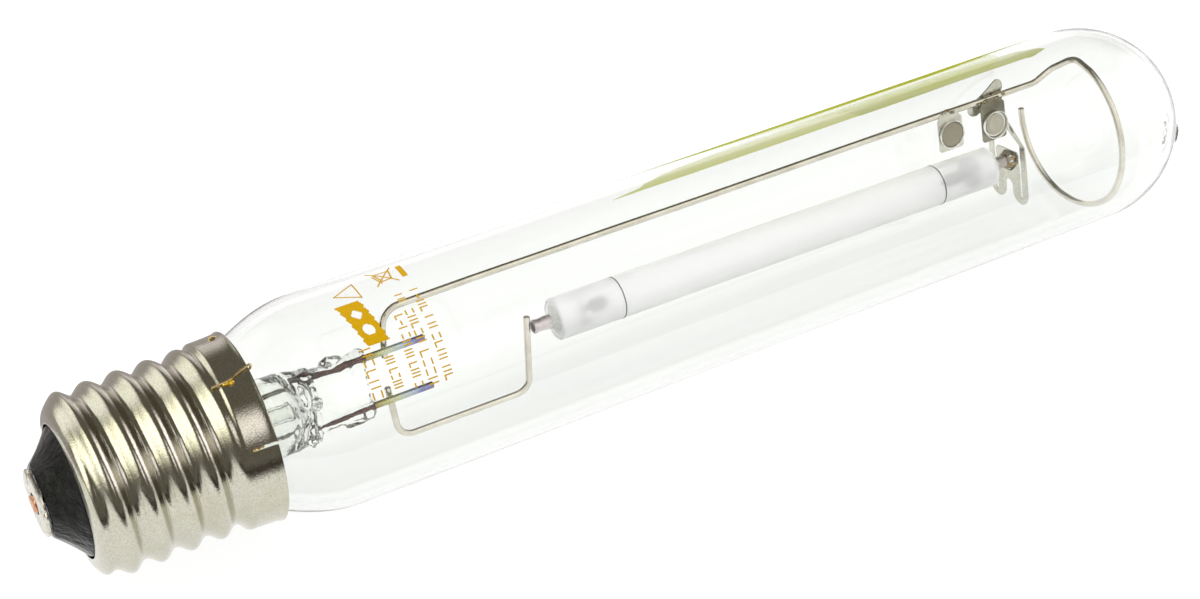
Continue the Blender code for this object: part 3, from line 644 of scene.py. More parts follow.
def shell_solid():
    """The shell's two skins, tied at both rims and round the slit."""
    segments, first = 180, 1.0
    rows = [SHELL_START + 0.3 * math.sin(math.radians(a)) for a in (0, 45, 90)]
    rows += steps(SHELL_START + 0.45, SKIRT_START - RUN_OUT, 128)
    rows += steps(SKIRT_START - 1.6, RIM_X - 0.25, 34)
    rows += [RIM_X - 0.08, RIM_X]
    lip = {0: 0.25, 1: 0.08, len(rows) - 2: 0.03, len(rows) - 1: 0.12}
    angles = [first + 360 * i / segments for i in range(segments)]
    points = []
    for inside in (False, True):
        for row, x in enumerate(rows):
            tuck = lip.get(row, 0.0)
            for angle in angles:
                radius = shell_radius(x, angle) - tuck
                if inside:
                    radius -= SHELL_WALL - 2 * tuck
                points.append(round_axis(x, radius, angle))
    layer = len(rows) * segments
    slit_column = round((SLIT_ANGLE - 1 - first) / (360 / segments))
    slit_length = 4.0
    slit_rows = {row for row, x in enumerate(rows[:-1]) if x >= RIM_X - slit_length}

    def solid_cell(row, column):
        return 0 <= row < len(rows) - 1 and not (column % segments == slit_column and row in slit_rows)

    faces = []
    for row in range(len(rows) - 1):
        for column in range(segments):
            if not solid_cell(row, column):
                continue
            after = (column + 1) % segments
            a, b = row * segments + column, row * segments + after
            c, d = b + segments, a + segments
            faces.append((a, b, c, d))
            faces.append((layer + d, layer + c, layer + b, layer + a))
            sides = (((row - 1, column), (b, a)), ((row + 1, column), (d, c)),
                     ((row, column - 1), (a, d)), ((row, column + 1), (c, b)))
            for neighbour, (p, q) in sides:
                if not solid_cell(*neighbour):
                    faces.append((p, q, layer + q, layer + p))
    return points, faces


def build_cap():
    show("cap_shell", shell_solid(), "nickel_plate", ["screw_shell"], sharp=50)

    start, back = INSULATOR_LOW.x, 7.1
    front_r, back_r = 7.5, INSULATOR_HIGH.z
    slope = []
    for share in steps(0.06, 0.95, 22):
        sag = -0.35 * math.sin(math.pi * share)
        slope.append((blend(start, back, share), blend(front_r, back_r, share) + sag))
    profile = [(start, 1.5), (start, 4.0), (start, front_r - 0.3), (start + 0.12, front_r)] + slope
    profile += [(back - 0.05, back_r - 0.15), (back + 0.5, back_r - 0.02), (11.0, back_r - 0.02),
                (11.0, back_r - 3.0), (6.0, 4.0), (6.0, 1.5)]

    def poured(x, radius, angle):
        """Glass that set with soft waves on the cone."""
        if radius < 5 or x > back:
            return x, radius
        twist = math.radians(angle) + x * 0.05
        spot = Vector((x * 0.28, 2.4 * math.sin(twist), 2.4 * math.cos(twist)))
        return x, radius - 0.07 + 0.11 * noise.noise(spot) * ease((x - start) / 1.5)

    show("cap_insulator_glass", turned(profile, 144, poured, closed=True), "black_glass",
         ["cap_insulator"], sharp=35)

    hole, rim, thick = 2.35, CONTACT_HIGH.z, CONTACT_HIGH.x
    face = [(0.16, hole), (0.03, hole + 0.4), (0.0, hole + 1.0), (0.0, 4.2), (0.05, 5.6), (0.12, rim - 0.7),
            (0.26, rim - 0.22), (0.45, rim), (thick - 0.1, rim - 0.02), (thick, rim - 0.2), (thick, hole)]

    def pinched(x, radius, angle):
        """Four stake marks near the plate's edge press the metal back and in."""
        off = abs((angle + 22) % 90 - 45)
        mark = bell(45 - off, 4.5) * ease((radius - 4.4) / 1.6) if x < thick - 0.2 else 0.0
        return x + 0.42 * mark, radius - 0.5 * mark * ease((radius - 6.4) / 0.6)

    show("contact_plate", turned(face, 128, pinched, closed=True), "contact_plate",
         ["centre_contact"], sharp=35)
    lump = joined(blob((0.15, 0.0, 0.0), (0.75, 1.95, 1.9), 3, 0.15),
                  blob((0.0, 0.8, 0.7), (0.55, 0.9, 0.8), 5, 0.2),
                  blob((0.0, -0.7, -0.8), (0.5, 0.8, 0.7), 8, 0.25))
    show("solder_drop", lump, "soldered_lead", ["contact_solder"])

    tab_1 = joined(blob(on_shell(RIM_X - 4.3, SLIT_ANGLE, -0.02), (0.9, 0.34, 0.34), 11, 0.3),
                   blob(on_shell(RIM_X - 3.4, SLIT_ANGLE, -0.2, -0.3), (0.7, 0.3, 0.25), 12, 0.3))
    tab_2 = blob(on_shell(RIM_X - 2.3, SECOND_LOCK_ANGLE, -0.02), (0.95, 0.75, 0.45), 13, 0.3)
    for number, tab in ((1, tab_1), (2, tab_2)):
        show(f"lock_tab_{number}", tab, "drawn_brass", [f"neck_lock_tab_{number}"])
    build_side_contact()


def build_side_contact():
    """The wire that comes up between neck and shell, over the rim and down onto the skirt."""
    radius, clear = 0.27, 0.06
    angle = SIDE_WIRE_ANGLE
    inner = (NECK_R + RIM_R - SHELL_WALL) / 2
    in_thread = ROOT_R - SHELL_WALL - 0.3 - radius
    over = RIM_R + radius + clear
    corners = [round_axis(27.2, 15.4, angle - 1), round_axis(29.6, in_thread, angle - 1),
               round_axis(37.0, in_thread, angle - 1), round_axis(40.6, inner, angle - 1.2),
               round_axis(RIM_X + 0.75, inner, angle - 2.5), round_axis(RIM_X + 0.75, over - 0.1, angle - 2.8),
               on_shell(RIM_X - 1.6, angle, radius + 0.12, -0.8), on_shell(40.6, angle, radius, 2.3),
               round_axis(36.9, shell_radius(38.9, angle) + radius - 0.1, angle + 2.8)]
    path = resampled(filleted(corners, 0.55, 6), 0.5)
    show("side_wire", swept(path, radius, 14), "drawn_brass", ["side_contact_wire"])
    spot = on_shell(40.6, angle + 3.6, 0.22)
    drop = joined(blob(spot, (1.0, 0.55, 0.42), 21, 0.25),
                  blob(spot + Vector((-0.9, 0.05, 0.0)), (0.6, 0.35, 0.28), 22, 0.2))
    show("side_weld", drop, "yellow_bead", ["side_contact_weld"])


# ---- outer glass ----
PIP = Vector((277.6, -12.5, -1.8))    # the tip where the dome was closed
PIP_REACH = 9                         # its ripples end this far from it


def bulb_solid():
    """The envelope, outside and inside, with its tip pressed into the dome."""
    centre = BULB_END - BULB_R - SKIN
    inner_centre = centre - (DOME_WALL - BULB_WALL)
    neck = [(30.0, NECK_END_R), (36.5, NECK_END_R), (40.0, NECK_R), (SHOULDER_START - 2, NECK_R)]
    shoulder = []
    for share in steps(0, 1, 24)[1:]:
        rise = math.sin(math.pi / 2 * share) ** 0.9
        shoulder.append((blend(SHOULDER_START, SHOULDER_END, share), blend(NECK_R, BULB_R, rise)))
    tube = [(x, BULB_R) for x in steps(SHOULDER_END, centre, 40)[1:-1]]
    dome = arc((centre, 0), BULB_R, 90, 1.5, 90)
    inner_dome = arc((inner_centre, 0), BULB_R - BULB_WALL, 90, 1.5, 70)
    outside = neck + shoulder + tube + dome + [(centre + BULB_R, 0)]
    inside = [(x, r - BULB_WALL) for x, r in neck + shoulder + tube if x < inner_centre - 1]
    inside += inner_dome + [(inner_centre + BULB_R - BULB_WALL, 0)]
    solid = turned(outside + inside[::-1], 216, closed=True)
    middle = Vector((centre, 0, 0))
    pip_way = (PIP - middle).normalized()
    for point in solid[0]:
        reach = point - middle
        if reach.x < 0 or reach.length < 1:
            continue
        away = (reach.normalized() - pip_way).length * BULB_R
        if away < PIP_REACH:
            ripple = 1 + 0.5 * noise.noise(point * 0.55)
            nub = ease((3.3 - away * (0.9 + 0.2 * ripple)) / 1.1)
            rise = 1.15 * nub - 0.55 * bell(away - 1.2, 0.7) * ripple + 0.15 * bell(away - 4.6, 0.9)
            inside_dent = -0.25 if reach.length < BULB_R - 0.5 else 1.0
            point += reach.normalized() * rise * inside_dent
    return solid


def pinched_section(x, half_width, half_thick, count=64):
    """One ring of the stem: round in the flare, a flattened oval in the press."""
    flat = min(max(1 - half_thick / half_width, 0.0), 1.0)
    power = 1.0 - 0.5 * flat
    ring = []
    for i in range(count):
        angle = 2 * math.pi * i / count
        side, up = math.sin(angle), math.cos(angle)
        ring.append(Vector((x, half_thick * math.copysign(abs(side) ** power, side),
                            half_width * math.copysign(abs(up) ** power, up))))
    return ring


def stem_solid():
    """The stem's outer skin as overlapping closed lumps, for the remesh to melt together."""
    stations = [(STEM_LOW.x, 14.6, 14.6), (33.0, 13.0, 13.0), (38.0, 10.6, 10.6), (44.0, 9.0, 9.0),
                (50.0, 8.5, 8.5), (53.5, 8.5, 8.3), (55.6, 8.2, 7.2), (57.2, 7.8, 5.0), (58.6, 7.4, 3.2),
                (60.5, 7.0, 2.1), (64.0, 6.9, 1.7), (68.0, 7.0, 1.7), (70.4, 7.1, 2.0), (71.6, 6.8, 1.7)]
    rings = [pinched_section(*station) for station in stations]
    lumps = [skinned([[Vector((STEM_LOW.x, 0, 0))]] + rings + [[Vector((71.9, 0, 0))]])]
    for sign, swell in ((1, 0.5), (-1, 0.35)):
        def fat(share, point, swell=swell):
            return 1.75 + swell * math.sin(share * 9.0 + 0.6) * 0.5 + 0.55 * bell(share - 0.93, 0.1)

        lumps += [swept([(x, 0, sign * LEAD_SPREAD) for x in steps(57.0, 71.6, 14)], fat, 20),
                  blob((71.0, 0.3, sign * (LEAD_SPREAD + 0.6)), (1.4, 2.0, 1.9), 31 + sign, 0.25),
                  blob((58.4, -0.8, sign * 6.6), (1.8, 2.6, 1.9), 41 + sign, 0.35)]
    lumps += [blob((58.6, -1.9, 0.6), (1.9, 1.7, 1.9), 51, 0.4),
              blob((56.4, -5.2, -3.4), (1.5, 2.3, 3.0), 53, 0.35),
              blob((56.6, -4.6, 4.2), (1.4, 2.2, 2.4), 57, 0.35),
              blob((64.8, 0.0, 7.4), (2.6, 1.5, 1.2), 59, 0.3),
              blob((67.6, 0.0, -7.4), (2.8, 1.6, 1.1), 61, 0.3)]
    return joined(*lumps)


def build_stem():
    """Melt the lumps, hollow the flare, and give the glass near the press a swirl."""
    stem = make_object("stem", moved(stem_solid(), FRAME), "stem_glass")
    melt = stem.modifiers.new("melt", "REMESH")
    melt.mode = "VOXEL"
    melt.voxel_size = 0.26 * MM
    melt.adaptivity = 0.0
    soft = stem.modifiers.new("soften", "SMOOTH")
    soft.factor = 0.5
    soft.iterations = 5
    hollow = [(STEM_LOW.x - 1, 0), (STEM_LOW.x - 1, 13.6), (33.0, 12.0), (38.0, 9.6), (44.0, 8.0),
              (50.0, 7.5), (53.2, 7.3), (55.0, 6.2), (56.2, 4.2), (56.8, 2.0), (57.0, 1.0), (60.5, 0.95),
              (61.2, 0.6), (61.4, 0)]
    cutter = make_object("stem_cavity", moved(turned(hollow, 64), FRAME), "stem_glass")
    cut = stem.modifiers.new("hollow", "BOOLEAN")
    cut.operation = "DIFFERENCE"
    cut.solver = "EXACT"
    cut.object = cutter
    bpy.context.view_layer.update()
    mesh = bpy.data.meshes.new_from_object(stem.evaluated_get(bpy.context.evaluated_depsgraph_get()))
    stem.modifiers.clear()
    stem.data = mesh
    bpy.data.objects.remove(cutter)
    bm = bmesh.new()
    bm.from_mesh(mesh)
    for vert in bm.verts:
        near = ease((vert.co.x / MM - 53) / 4)
        swirl = noise.noise(vert.co / MM * 0.75) * 0.16 + noise.noise(vert.co / MM * 2.1) * 0.05
        vert.co += vert.normal * swirl * near * MM
    bmesh.ops.recalc_face_normals(bm, faces=bm.faces)
    bm.to_mesh(mesh)
    bm.free()
    mesh.shade_smooth()
    declare(stem, ["stem_glass"])

    outer = [(20.0, 0.0), (20.3, 0.5), (20.9, 1.0), (22.0, 1.6), (23.4, 1.9), (54.0, 1.9), (55.6, 2.2)]
    inner = [(55.6, 1.4), (54.0, 1.2), (24.0, 1.2), (22.6, 0.7), (22.0, 0.0)]
    show("exhaust_pipe", turned(outer + inner, 40), "stem_glass", ["exhaust_tube"], FRAME)


# ---- leads and frame ----
def build_leads():
    for side, sign in (("upper", 1), ("lower", -1)):
        path = [(x, 0, sign * LEAD_SPREAD) for x in steps(58.2, 85.7, 90)]

        def sealed(share, point):
            return blend(SEALED_LEAD_R, LEAD_R, ease((point.x - PRESS_END + 1.4) / 1.2))

        show(f"lead_rod_{side}", swept(path, sealed, 24), "heat_tinted_rod",
             [f"lead_in_rod_{side}"], FRAME)
    centre_route = [(0.9, 0, 0), (14.0, 0, 0), (26.0, 0, 4.6), (46.0, 0, 4.6), (58.4, 0, LEAD_SPREAD)]
    side_route = [(58.4, 0, -LEAD_SPREAD), (46.0, 0, -5.0), (26.0, 0, -5.0), (25.5, 6.5, 5.0),
                  (26.2, 0.6, 14.4)]
    for name, route, corner, radius in (("centre_lead", centre_route, 8.0, 0.5),
                                        ("side_lead", side_route, 3.0, 0.42)):
        wire = swept(resampled(filleted(route, corner), 1.0), radius, 12)
        show(name, wire, "lead_wire", [f"{name}_wire"], FRAME)


def long_wire_path():
    """Up from the rod, along the arc tube, and round the spring ring in the dome."""
    top, foot = LONG_RUN, 77.2
    ring = []
    for turn in steps(12.0, 271.0, 90):
        out = RING_R + 0.6 * math.sin(math.radians(turn))
        ring.append(round_axis(RING_X, out, turn))
    rising = [(foot, WIRE_SIDE, 3.4), (foot + 1.2, WIRE_SIDE, top - 0.2), (100.0, 1.7, top),
              (245.6, 0.4, top + 0.1), (250.6, 0.1, top + 2.2)]
    before = Vector(rising[-1]).lerp(ring[0], 0.3)
    peak = filleted([before, ring[0], ring[6]], 3.6)
    return filleted(rising + [before], 4.5)[:-1] + peak + ring[7:]


def hand_bent(path, amount, seed):
    """A wire bent by hand wanders a little from its route."""
    noise.seed_set(3)    # noise_vector takes its offsets from this seed, and from the clock without it
    wander = []
    for point in resampled(path, 1.2):
        shift = noise.noise_vector(point * 0.035 + Vector((seed, 0, 0)))
        wander.append(point + shift * amount)
    return wander


def build_frame_wires():
    low = SHORT_RUN
    base_end = ARC_START - NIOBIUM_OUT - 0.3 - WIRE_R
    route = [(76.4, WIRE_SIDE, -3.6), (77.0, WIRE_SIDE, low), (107.6, 0.9, low + 0.3),
             (base_end, 0.0, ARC_DROP + 2.9)]
    for name, path, amount, seed in (("long", long_wire_path(), 0.12, 2.0),
                                     ("short", filleted(route, 3.4), 0.1, 5.0)):
        wire = swept(hand_bent(path, amount, seed), WIRE_R, 20)
        show(f"{name}_side_wire", wire, "frame_wire", [f"frame_wire_{name}"], FRAME)


def build_getters():
    """Two bent holders, each with a pressed ring cup and its fill, facing -Y of the frame."""
    chip = 0.5
    for number, left, right, bottom, finish in ((1, 217.3, 224.0, 5.4, "frame_sheet"),
                                                (2, 229.3, 236.0, 4.2, "dark_holder")):
        front = 0.75 - 0.13 * number - WIRE_R - 0.3
        middle, top = (left + right) / 2, LONG_RUN + 0.4
        outline = [(left + chip, bottom), (right - chip, bottom), (right, bottom + chip), (right, top - 1.6),
                   (right - 0.9, top - 0.5), (right - 1.2, top), (left + 1.4, top), (left + 0.8, top - 0.6),
                   (left, top - 1.5), (left, bottom + chip)]

        def bent(u, v, w, f=front, low=bottom, high=top, n=number):
            share = (v - low) / (high - low)
            curl = 0.5 * ease((share - 0.8) / 0.2) + 0.05 * noise.noise(Vector((u * 0.8, v * 0.8, n)))
            return u, f - w + curl, v

        show(f"getter_holder_{number}", plate(outline, 0.22, bent, finer=0.9), finish,
             [f"getter_plate_{number}"], FRAME)
        ring = [(0.0, 0.0), (0.0, 2.9), (0.18, 3.2), (0.95, 3.35), (1.12, 3.3), (1.16, 3.2), (1.1, 3.1),
                (0.9, 3.0), (0.45, 2.85)]
        if number == 1:
            ring = [(x * 0.75, r) for x, r in ring] + [(0.36, 2.4), (0.36, 0.0)]
            fill = [(0.4, 0.0), (0.4, 2.7), (0.52, 2.86), (0.62, 2.84), (0.66, 2.6), (0.68, 1.2), (0.66, 0.0)]
        else:
            ring += [(0.4, 2.6), (0.4, 0.0)]
            fill = [(0.45, 0.0), (0.45, 2.45), (0.62, 2.52), (0.7, 2.4), (0.66, 2.12), (0.78, 2.0),
                    (0.64, 1.86), (0.64, 1.0), (0.62, 0.0)]

        def hammered(x, radius, angle, n=number):
            spot = Vector((*around(angle, radius), n * 5.0)) * 0.9
            return x + (0.05 * noise.noise(spot) if x > 0.3 else 0.0), radius

        centre = Matrix.Translation((middle, front - 0.25, bottom + 3.9))
        place = FRAME @ centre @ Matrix.Rotation(math.radians(-90), 4, "Z")
        show(f"getter_ring_{number}", turned(ring, 72, hammered), "getter_cup",
             [f"getter_cup_{number}"], place, 30)
        show(f"getter_alloy_{number}", turned(fill, 72, hammered), f"getter_alloy_{number}",
             [f"getter_fill_{number}"], place, 30)


def rounded_bar(length, width, count=12):
    reach = (length - width) / 2
    right = arc((reach, 0), width / 2, -90, 90, count)
    left = arc((-reach, 0), width / 2, 90, 270, count)
    return right + left


def build_clip():
    """The cross bar behind the long wire, and the spatter of its welds."""
    tilt = math.radians(29)
    centre = Vector((232.6, 0.0, LONG_RUN - 0.1))
    behind = 0.6 + WIRE_R + 0.1

    def place_clip(u, v, w):
        along = u * math.cos(tilt) - v * math.sin(tilt)
        up = u * math.sin(tilt) + v * math.cos(tilt)
        bow = -0.25 * bell(u, 2.0) + 0.35 * ease((abs(u) - 3.5) / 2.0)
        return centre.x + along, behind + w + bow, centre.z + up

    bar = plate(rounded_bar(11.0, 3.2), 0.35, place_clip, finer=0.7, soften=0.1)
    random.seed(7)
    spatter = []
    reach = 0.72
    for x in (219.6, 220.6, 221.9, 229.2, 229.9, 231.2, 232.3, 233.0, 233.6, 234.9, 235.8):
        for drop in range(3):
            turn = math.radians(random.uniform(60, 230))
            spot = Vector((x + random.uniform(-0.6, 0.6), 0.6 + reach * math.cos(turn),
                           LONG_RUN - 0.15 + reach * math.sin(turn)))
            size = random.uniform(0.22, 0.55)
            spatter.append(blob(spot, (size * 1.5, size * 0.8, size * 0.8), int(x) + drop, 0.4, 2))
    show("cross_clip", bar, "frame_sheet", ["frame_clip"], FRAME)
    show("weld_spatter", joined(*spatter), "weld_stain", [], FRAME)


def connector_outline():
    """M shape: a middle plate on the niobium tube, a loop each side, and arms that meet below the clip."""
    half, low = CONNECTOR_HALF, CONNECTOR_BOTTOM
    leg, slit, stem = 1.9, 0.8, 0.8
    inner = 1.4
    loop_r = (half - inner) / 2
    slit_in = half - leg - slit
    outer_side = arc((inner + loop_r, low + loop_r), loop_r, 180, 360, 16)
    outer_side += [(half, CONNECTOR_FOLD), (stem, 7.6), (stem, 11.7)]
    inner_side = [(half - leg, CONNECTOR_FOLD + 0.4)]
    inner_side += arc((slit_in + slit / 2, low + 2.0), slit / 2, 0, -180, 8)
    inner_side += [(slit_in, -0.4), (slit_in - 0.6, 0.2)]
    notch = arc((0.0, -8.8), inner, 180, 0, 12)
    outer_left = [(-u, v) for u, v in reversed(outer_side)]
    inner_left = [(-u, v) for u, v in reversed(inner_side)]
    return notch + outer_side + outer_left, [(0.0, 5.6)] + inner_side + inner_left


def build_connector():
    def place(u, v, w):
        lean = max(0.0, v - 7.6) * 0.75
        ripple = 0.10 * noise.noise(Vector((u * 0.5, v * 0.5, 3.0)))
        return CONNECTOR_X - lean + w + ripple, CONNECTOR_SHIFT - u, v

    hole = arc((CONNECTOR_SHIFT, CONNECTOR_HEIGHT), NIOBIUM_R + 0.12, 0, 345, 23)
    outline, window = connector_outline()
    body = plate(outline, 0.3, place, holes=[window, hole], finer=0.9, soften=0.07)
    show("flex_link", body, "frame_sheet", ["flex_connector"], FRAME)


def build_link_teeth():
    """The torn sleeve of the connector round the niobium tube, with beads of weld."""
    root = Vector((CONNECTOR_X - 1.5, 0, CONNECTOR_HEIGHT))
    teeth = []
    for number in range(10):
        turn = math.radians(number * 36 + 8)
        out = Vector((0, math.sin(turn), math.cos(turn)))
        across = Vector((0, math.cos(turn), -math.sin(turn)))
        lean = 0.22 + 0.4 * (number % 3) / 2

        def leaf(u, v, w, out=out, across=across, lean=lean):
            spot = root + out * (NIOBIUM_R + 0.05 + v * lean + w) + across * u
            return spot + Vector((v * (1.05 - 0.3 * lean), 0, 0))

        outline = [(-0.55, 0), (0.55, 0), (0.55, 1.1), (0.1, 2.0 + 0.5 * (number % 2)), (-0.5, 1.2)]
        teeth.append(plate(outline, 0.16, leaf, finer=0.6, soften=0.03))
    random.seed(11)
    reach = 1.75
    for drop in range(9):
        turn = math.radians(random.uniform(0, 360))
        spot = Vector((CONNECTOR_X + random.uniform(-0.5, 0.7), reach * math.sin(turn),
                       CONNECTOR_HEIGHT + reach * math.cos(turn)))
        size = random.uniform(0.2, 0.42)
        teeth.append(blob(spot, (size, size, size), drop, 0.4, 2))
    show("link_teeth", joined(*teeth), "weld_stain", [], FRAME)


# ---- arc tube ----
def build_arc_tube():
    inner = ARC_R - ARC_WALL
    edge = 0.25
    tube = [(0, inner + edge), (0.03, ARC_R - edge), (edge, ARC_R)]
    tube += [(x, ARC_R) for x in steps(1.0, ARC_LENGTH - 1.0, 60)]
    tube += [(ARC_LENGTH - edge, ARC_R), (ARC_LENGTH - 0.03, ARC_R - edge), (ARC_LENGTH, inner + edge)]
    tube.append((ARC_LENGTH - edge, inner))
    tube += [(x, inner) for x in steps(ARC_LENGTH - 1.0, 1.0, 30)] + [(edge, inner)]

    def drawn(x, radius, angle):
        return x, radius - 0.02 + 0.03 * noise.noise(Vector((x * 0.06, 0.0, radius)))

    show("arc_tube_ceramic", turned(tube, 96, drawn, closed=True), "alumina", ["arc_tube"], ARC, 50)
    build_arc_end("base", ARC, inner)
    build_arc_end("dome", ARC_FAR, inner)
    build_antenna()
    pill = blob((PLUG_DEPTH + 2.1, 0.0, -(inner - 0.62)), (1.0, 0.9, 0.55), 71, 0.15)
    show("amalgam_bead", pill, "sodium_amalgam", ["amalgam_pill"], ARC)


def build_arc_end(side, place, inner):
    """One end of the arc tube: plug, niobium tube, frit, electrode rod and its two-layer coil."""
    bore = NIOBIUM_R + 0.05
    plug = [(0.25, bore), (0.25, inner - 0.35), (0.45, inner - 0.08), (PLUG_DEPTH - 0.3, inner - 0.08),
            (PLUG_DEPTH, inner - 0.4), (PLUG_DEPTH, bore)]
    show(f"plug_{side}", turned(plug, 72, closed=True), "alumina_plug",
         [f"end_plug_{side}"], place, 50)
    floor, out, lip = PLUG_DEPTH - 1.5, -NIOBIUM_OUT, 0.12
    cup = [(floor, 0.0), (floor, NIOBIUM_R - 0.2), (floor - 0.2, NIOBIUM_R)]
    cup += [(x, NIOBIUM_R) for x in steps(floor - 1, out + 0.6, 16)]
    cup += [(out + lip, NIOBIUM_R), (out, NIOBIUM_R - lip), (out, NIOBIUM_BORE_R + lip),
            (out + lip, NIOBIUM_BORE_R), (floor - 0.8, NIOBIUM_BORE_R), (floor - 0.8, 0.0)]

    def dented(x, radius, angle):
        return x, radius - bell(x + 3.6, 0.9) * (0.12 + 0.10 * math.cos(math.radians(2 * angle)))

    show(f"niobium_{side}", turned(cup, 56, dented), "niobium", [f"niobium_tube_{side}"], place, 35)
    fillet = [(0.28, NIOBIUM_R + 0.03), (-1.0, NIOBIUM_R + 0.03), (-0.75, NIOBIUM_R + 0.35), (-0.4, 2.35),
              (-0.12, 2.8), (0.1, 3.1), (0.28, 3.2)]

    def flowed(x, radius, angle):
        return x + 0.12 * noise.noise(Vector((*around(angle, 2), radius))), radius

    show(f"frit_{side}", turned(fillet, 64, flowed, closed=True), "sealing_frit",
         [f"seal_frit_{side}"], place)
    rod = [(x, 0, 0) for x in steps(floor + 0.1, ELECTRODE_TIP - 0.2, 20)]
    show(f"electrode_pin_{side}", swept(rod, 0.5, 16), "emitter_tungsten",
         [f"electrode_rod_{side}"], place)
    helix = []
    step, pitch = 20, 0.6
    for layer, radius in enumerate((0.78, 1.28)):
        count = int((6.5 - layer) * step)
        for i in range(count + 1):
            along = i / step * pitch if layer == 0 else (count - i) / step * pitch + 0.3
            helix.append(round_axis(ELECTRODE_TIP - 4.9 + along, radius, 360 * i / step + 180 * layer))
    show(f"electrode_winding_{side}", swept(helix, 0.26, 8), "emitter_tungsten",
         [f"electrode_coil_{side}"], place)


def build_antenna():
    """A thin painted ring near each end of the ceramic, and the line that joins them round the back."""
    low, high = ARC_R - 0.05, ARC_R + 0.04
    rings = []
    for x in (ANTENNA_INSET, ARC_LENGTH - ANTENNA_INSET):
        def wavering(along, radius, angle, x=x):
            return along + 0.05 * noise.noise(Vector((*around(angle, 3), x))), radius

        band = [(x - 0.13, low), (x - 0.12, high), (x + 0.12, high), (x + 0.13, low)]
        rings.append(turned(band, 96, wavering, closed=True))
    line = [round_axis(x, ARC_R, -92 + 3 * noise.noise(Vector((x * 0.1, 0, 0))))
            for x in steps(ANTENNA_INSET, ARC_LENGTH - ANTENNA_INSET, 90)]
    show("antenna", joined(*rings, swept(line, 0.09, 8)), "antenna_line",
         ["ignition_antenna"], ARC)


# ---- print on the glass ----
def printed_cells(cells):
    """Thin enamel patches on the bulb; a cell is (x start, x end, angle start, angle end)."""
    low, top = BULB_R + 0.004, BULB_R + 0.035
    solids = []
    for x0, x1, a0, a1 in cells:
        count = max(1, math.ceil(abs(a1 - a0) / 1.5))
        points, faces = skinned([[round_axis(x0, low, angle), round_axis(x0, top, angle),
                                  round_axis(x1, top, angle), round_axis(x1, low, angle)]
                                 for angle in steps(a0, a1, count)])
        last = len(points) - 4
        faces += [(0, 1, 2, 3), (last + 3, last + 2, last + 1, last)]
        solids.append((points, faces))
    return solids


def stroke(start, end, width):
    """A stepped line of small cells between two (x, angle) places."""
    (x0, a0), (x1, a1) = start, end
    degree = BULB_R * math.pi / 180
    length = math.hypot(x1 - x0, (a1 - a0) * degree)
    count = max(1, round(length / (width * 0.8)))
    half = width / 2
    cells = []
    for share in steps(0, 1, count):
        x, angle = blend(x0, x1, share), blend(a0, a1, share)
        cells.append((x - half, x + half, angle - half / degree, angle + half / degree))
    return cells


def flag_cells():
    """A solid slanted flag with a plain diamond and a plain disc left out of it."""
    first, step, count = 0.9, 0.8, 35
    diamond, diamond_half, disc, disc_half = 0.3, 0.13, 0.68, 0.12
    cells = []
    for i in range(count):
        angle = first + i * step
        share = i / count
        ragged = 0.15 * ((i // 2) % 3 - 1)
        x0, x1 = blend(66.1, 68.3, share) + ragged, blend(71.3, 73.0, share) + ragged
        middle = (x0 + x1) / 2 - ragged
        gap = 0
        if abs(share - diamond) < diamond_half:
            gap = 1.25 * (1 - abs(share - diamond) / diamond_half)
        elif abs(share - disc) < disc_half:
            gap = 1.15 * math.sqrt(1 - ((share - disc) / disc_half) ** 2)
        if gap > 0.15:
            cells += [(x0, middle - gap, angle, angle + step), (middle + gap, x1, angle, angle + step)]
        else:
            cells.append((x0, x1, angle, angle + step))
    return cells


def mark_row(route, pattern, height):
    """A row of plain strokes round the glass, centred on a route of (x, angle) places.

    Kinds: 1 a tick, 2 two dashes, 3 a middle dash, 4 two ticks, 5 a tick and a dash, 6 a block.
    """
    cells = []
    first, last = route[0][1], route[-1][1]
    pitch = (last - first) / len(pattern)
    thin, wide, dash = 0.75, pitch * 0.72, 0.34
    for i, kind in enumerate(pattern):
        angle = first + i * pitch
        for (x0, a0), (x1, a1) in zip(route, route[1:]):
            if a0 <= angle <= a1:
                x = blend(x0, x1, (angle - a0) / (a1 - a0)) - height / 2
        if kind in (1, 4, 5):
            cells.append((x, x + height, angle, angle + thin))
        if kind == 4:
            cells.append((x, x + height, angle + wide - thin, angle + wide))
        if kind in (2, 5):
            cells.append((x, x + dash, angle + (thin if kind == 5 else 0), angle + wide))
        if kind == 2:
            cells.append((x + height - dash, x + height, angle, angle + wide))
        if kind == 3:
            cells.append((x + (height - dash) / 2, x + (height + dash) / 2, angle, angle + wide))
    return cells


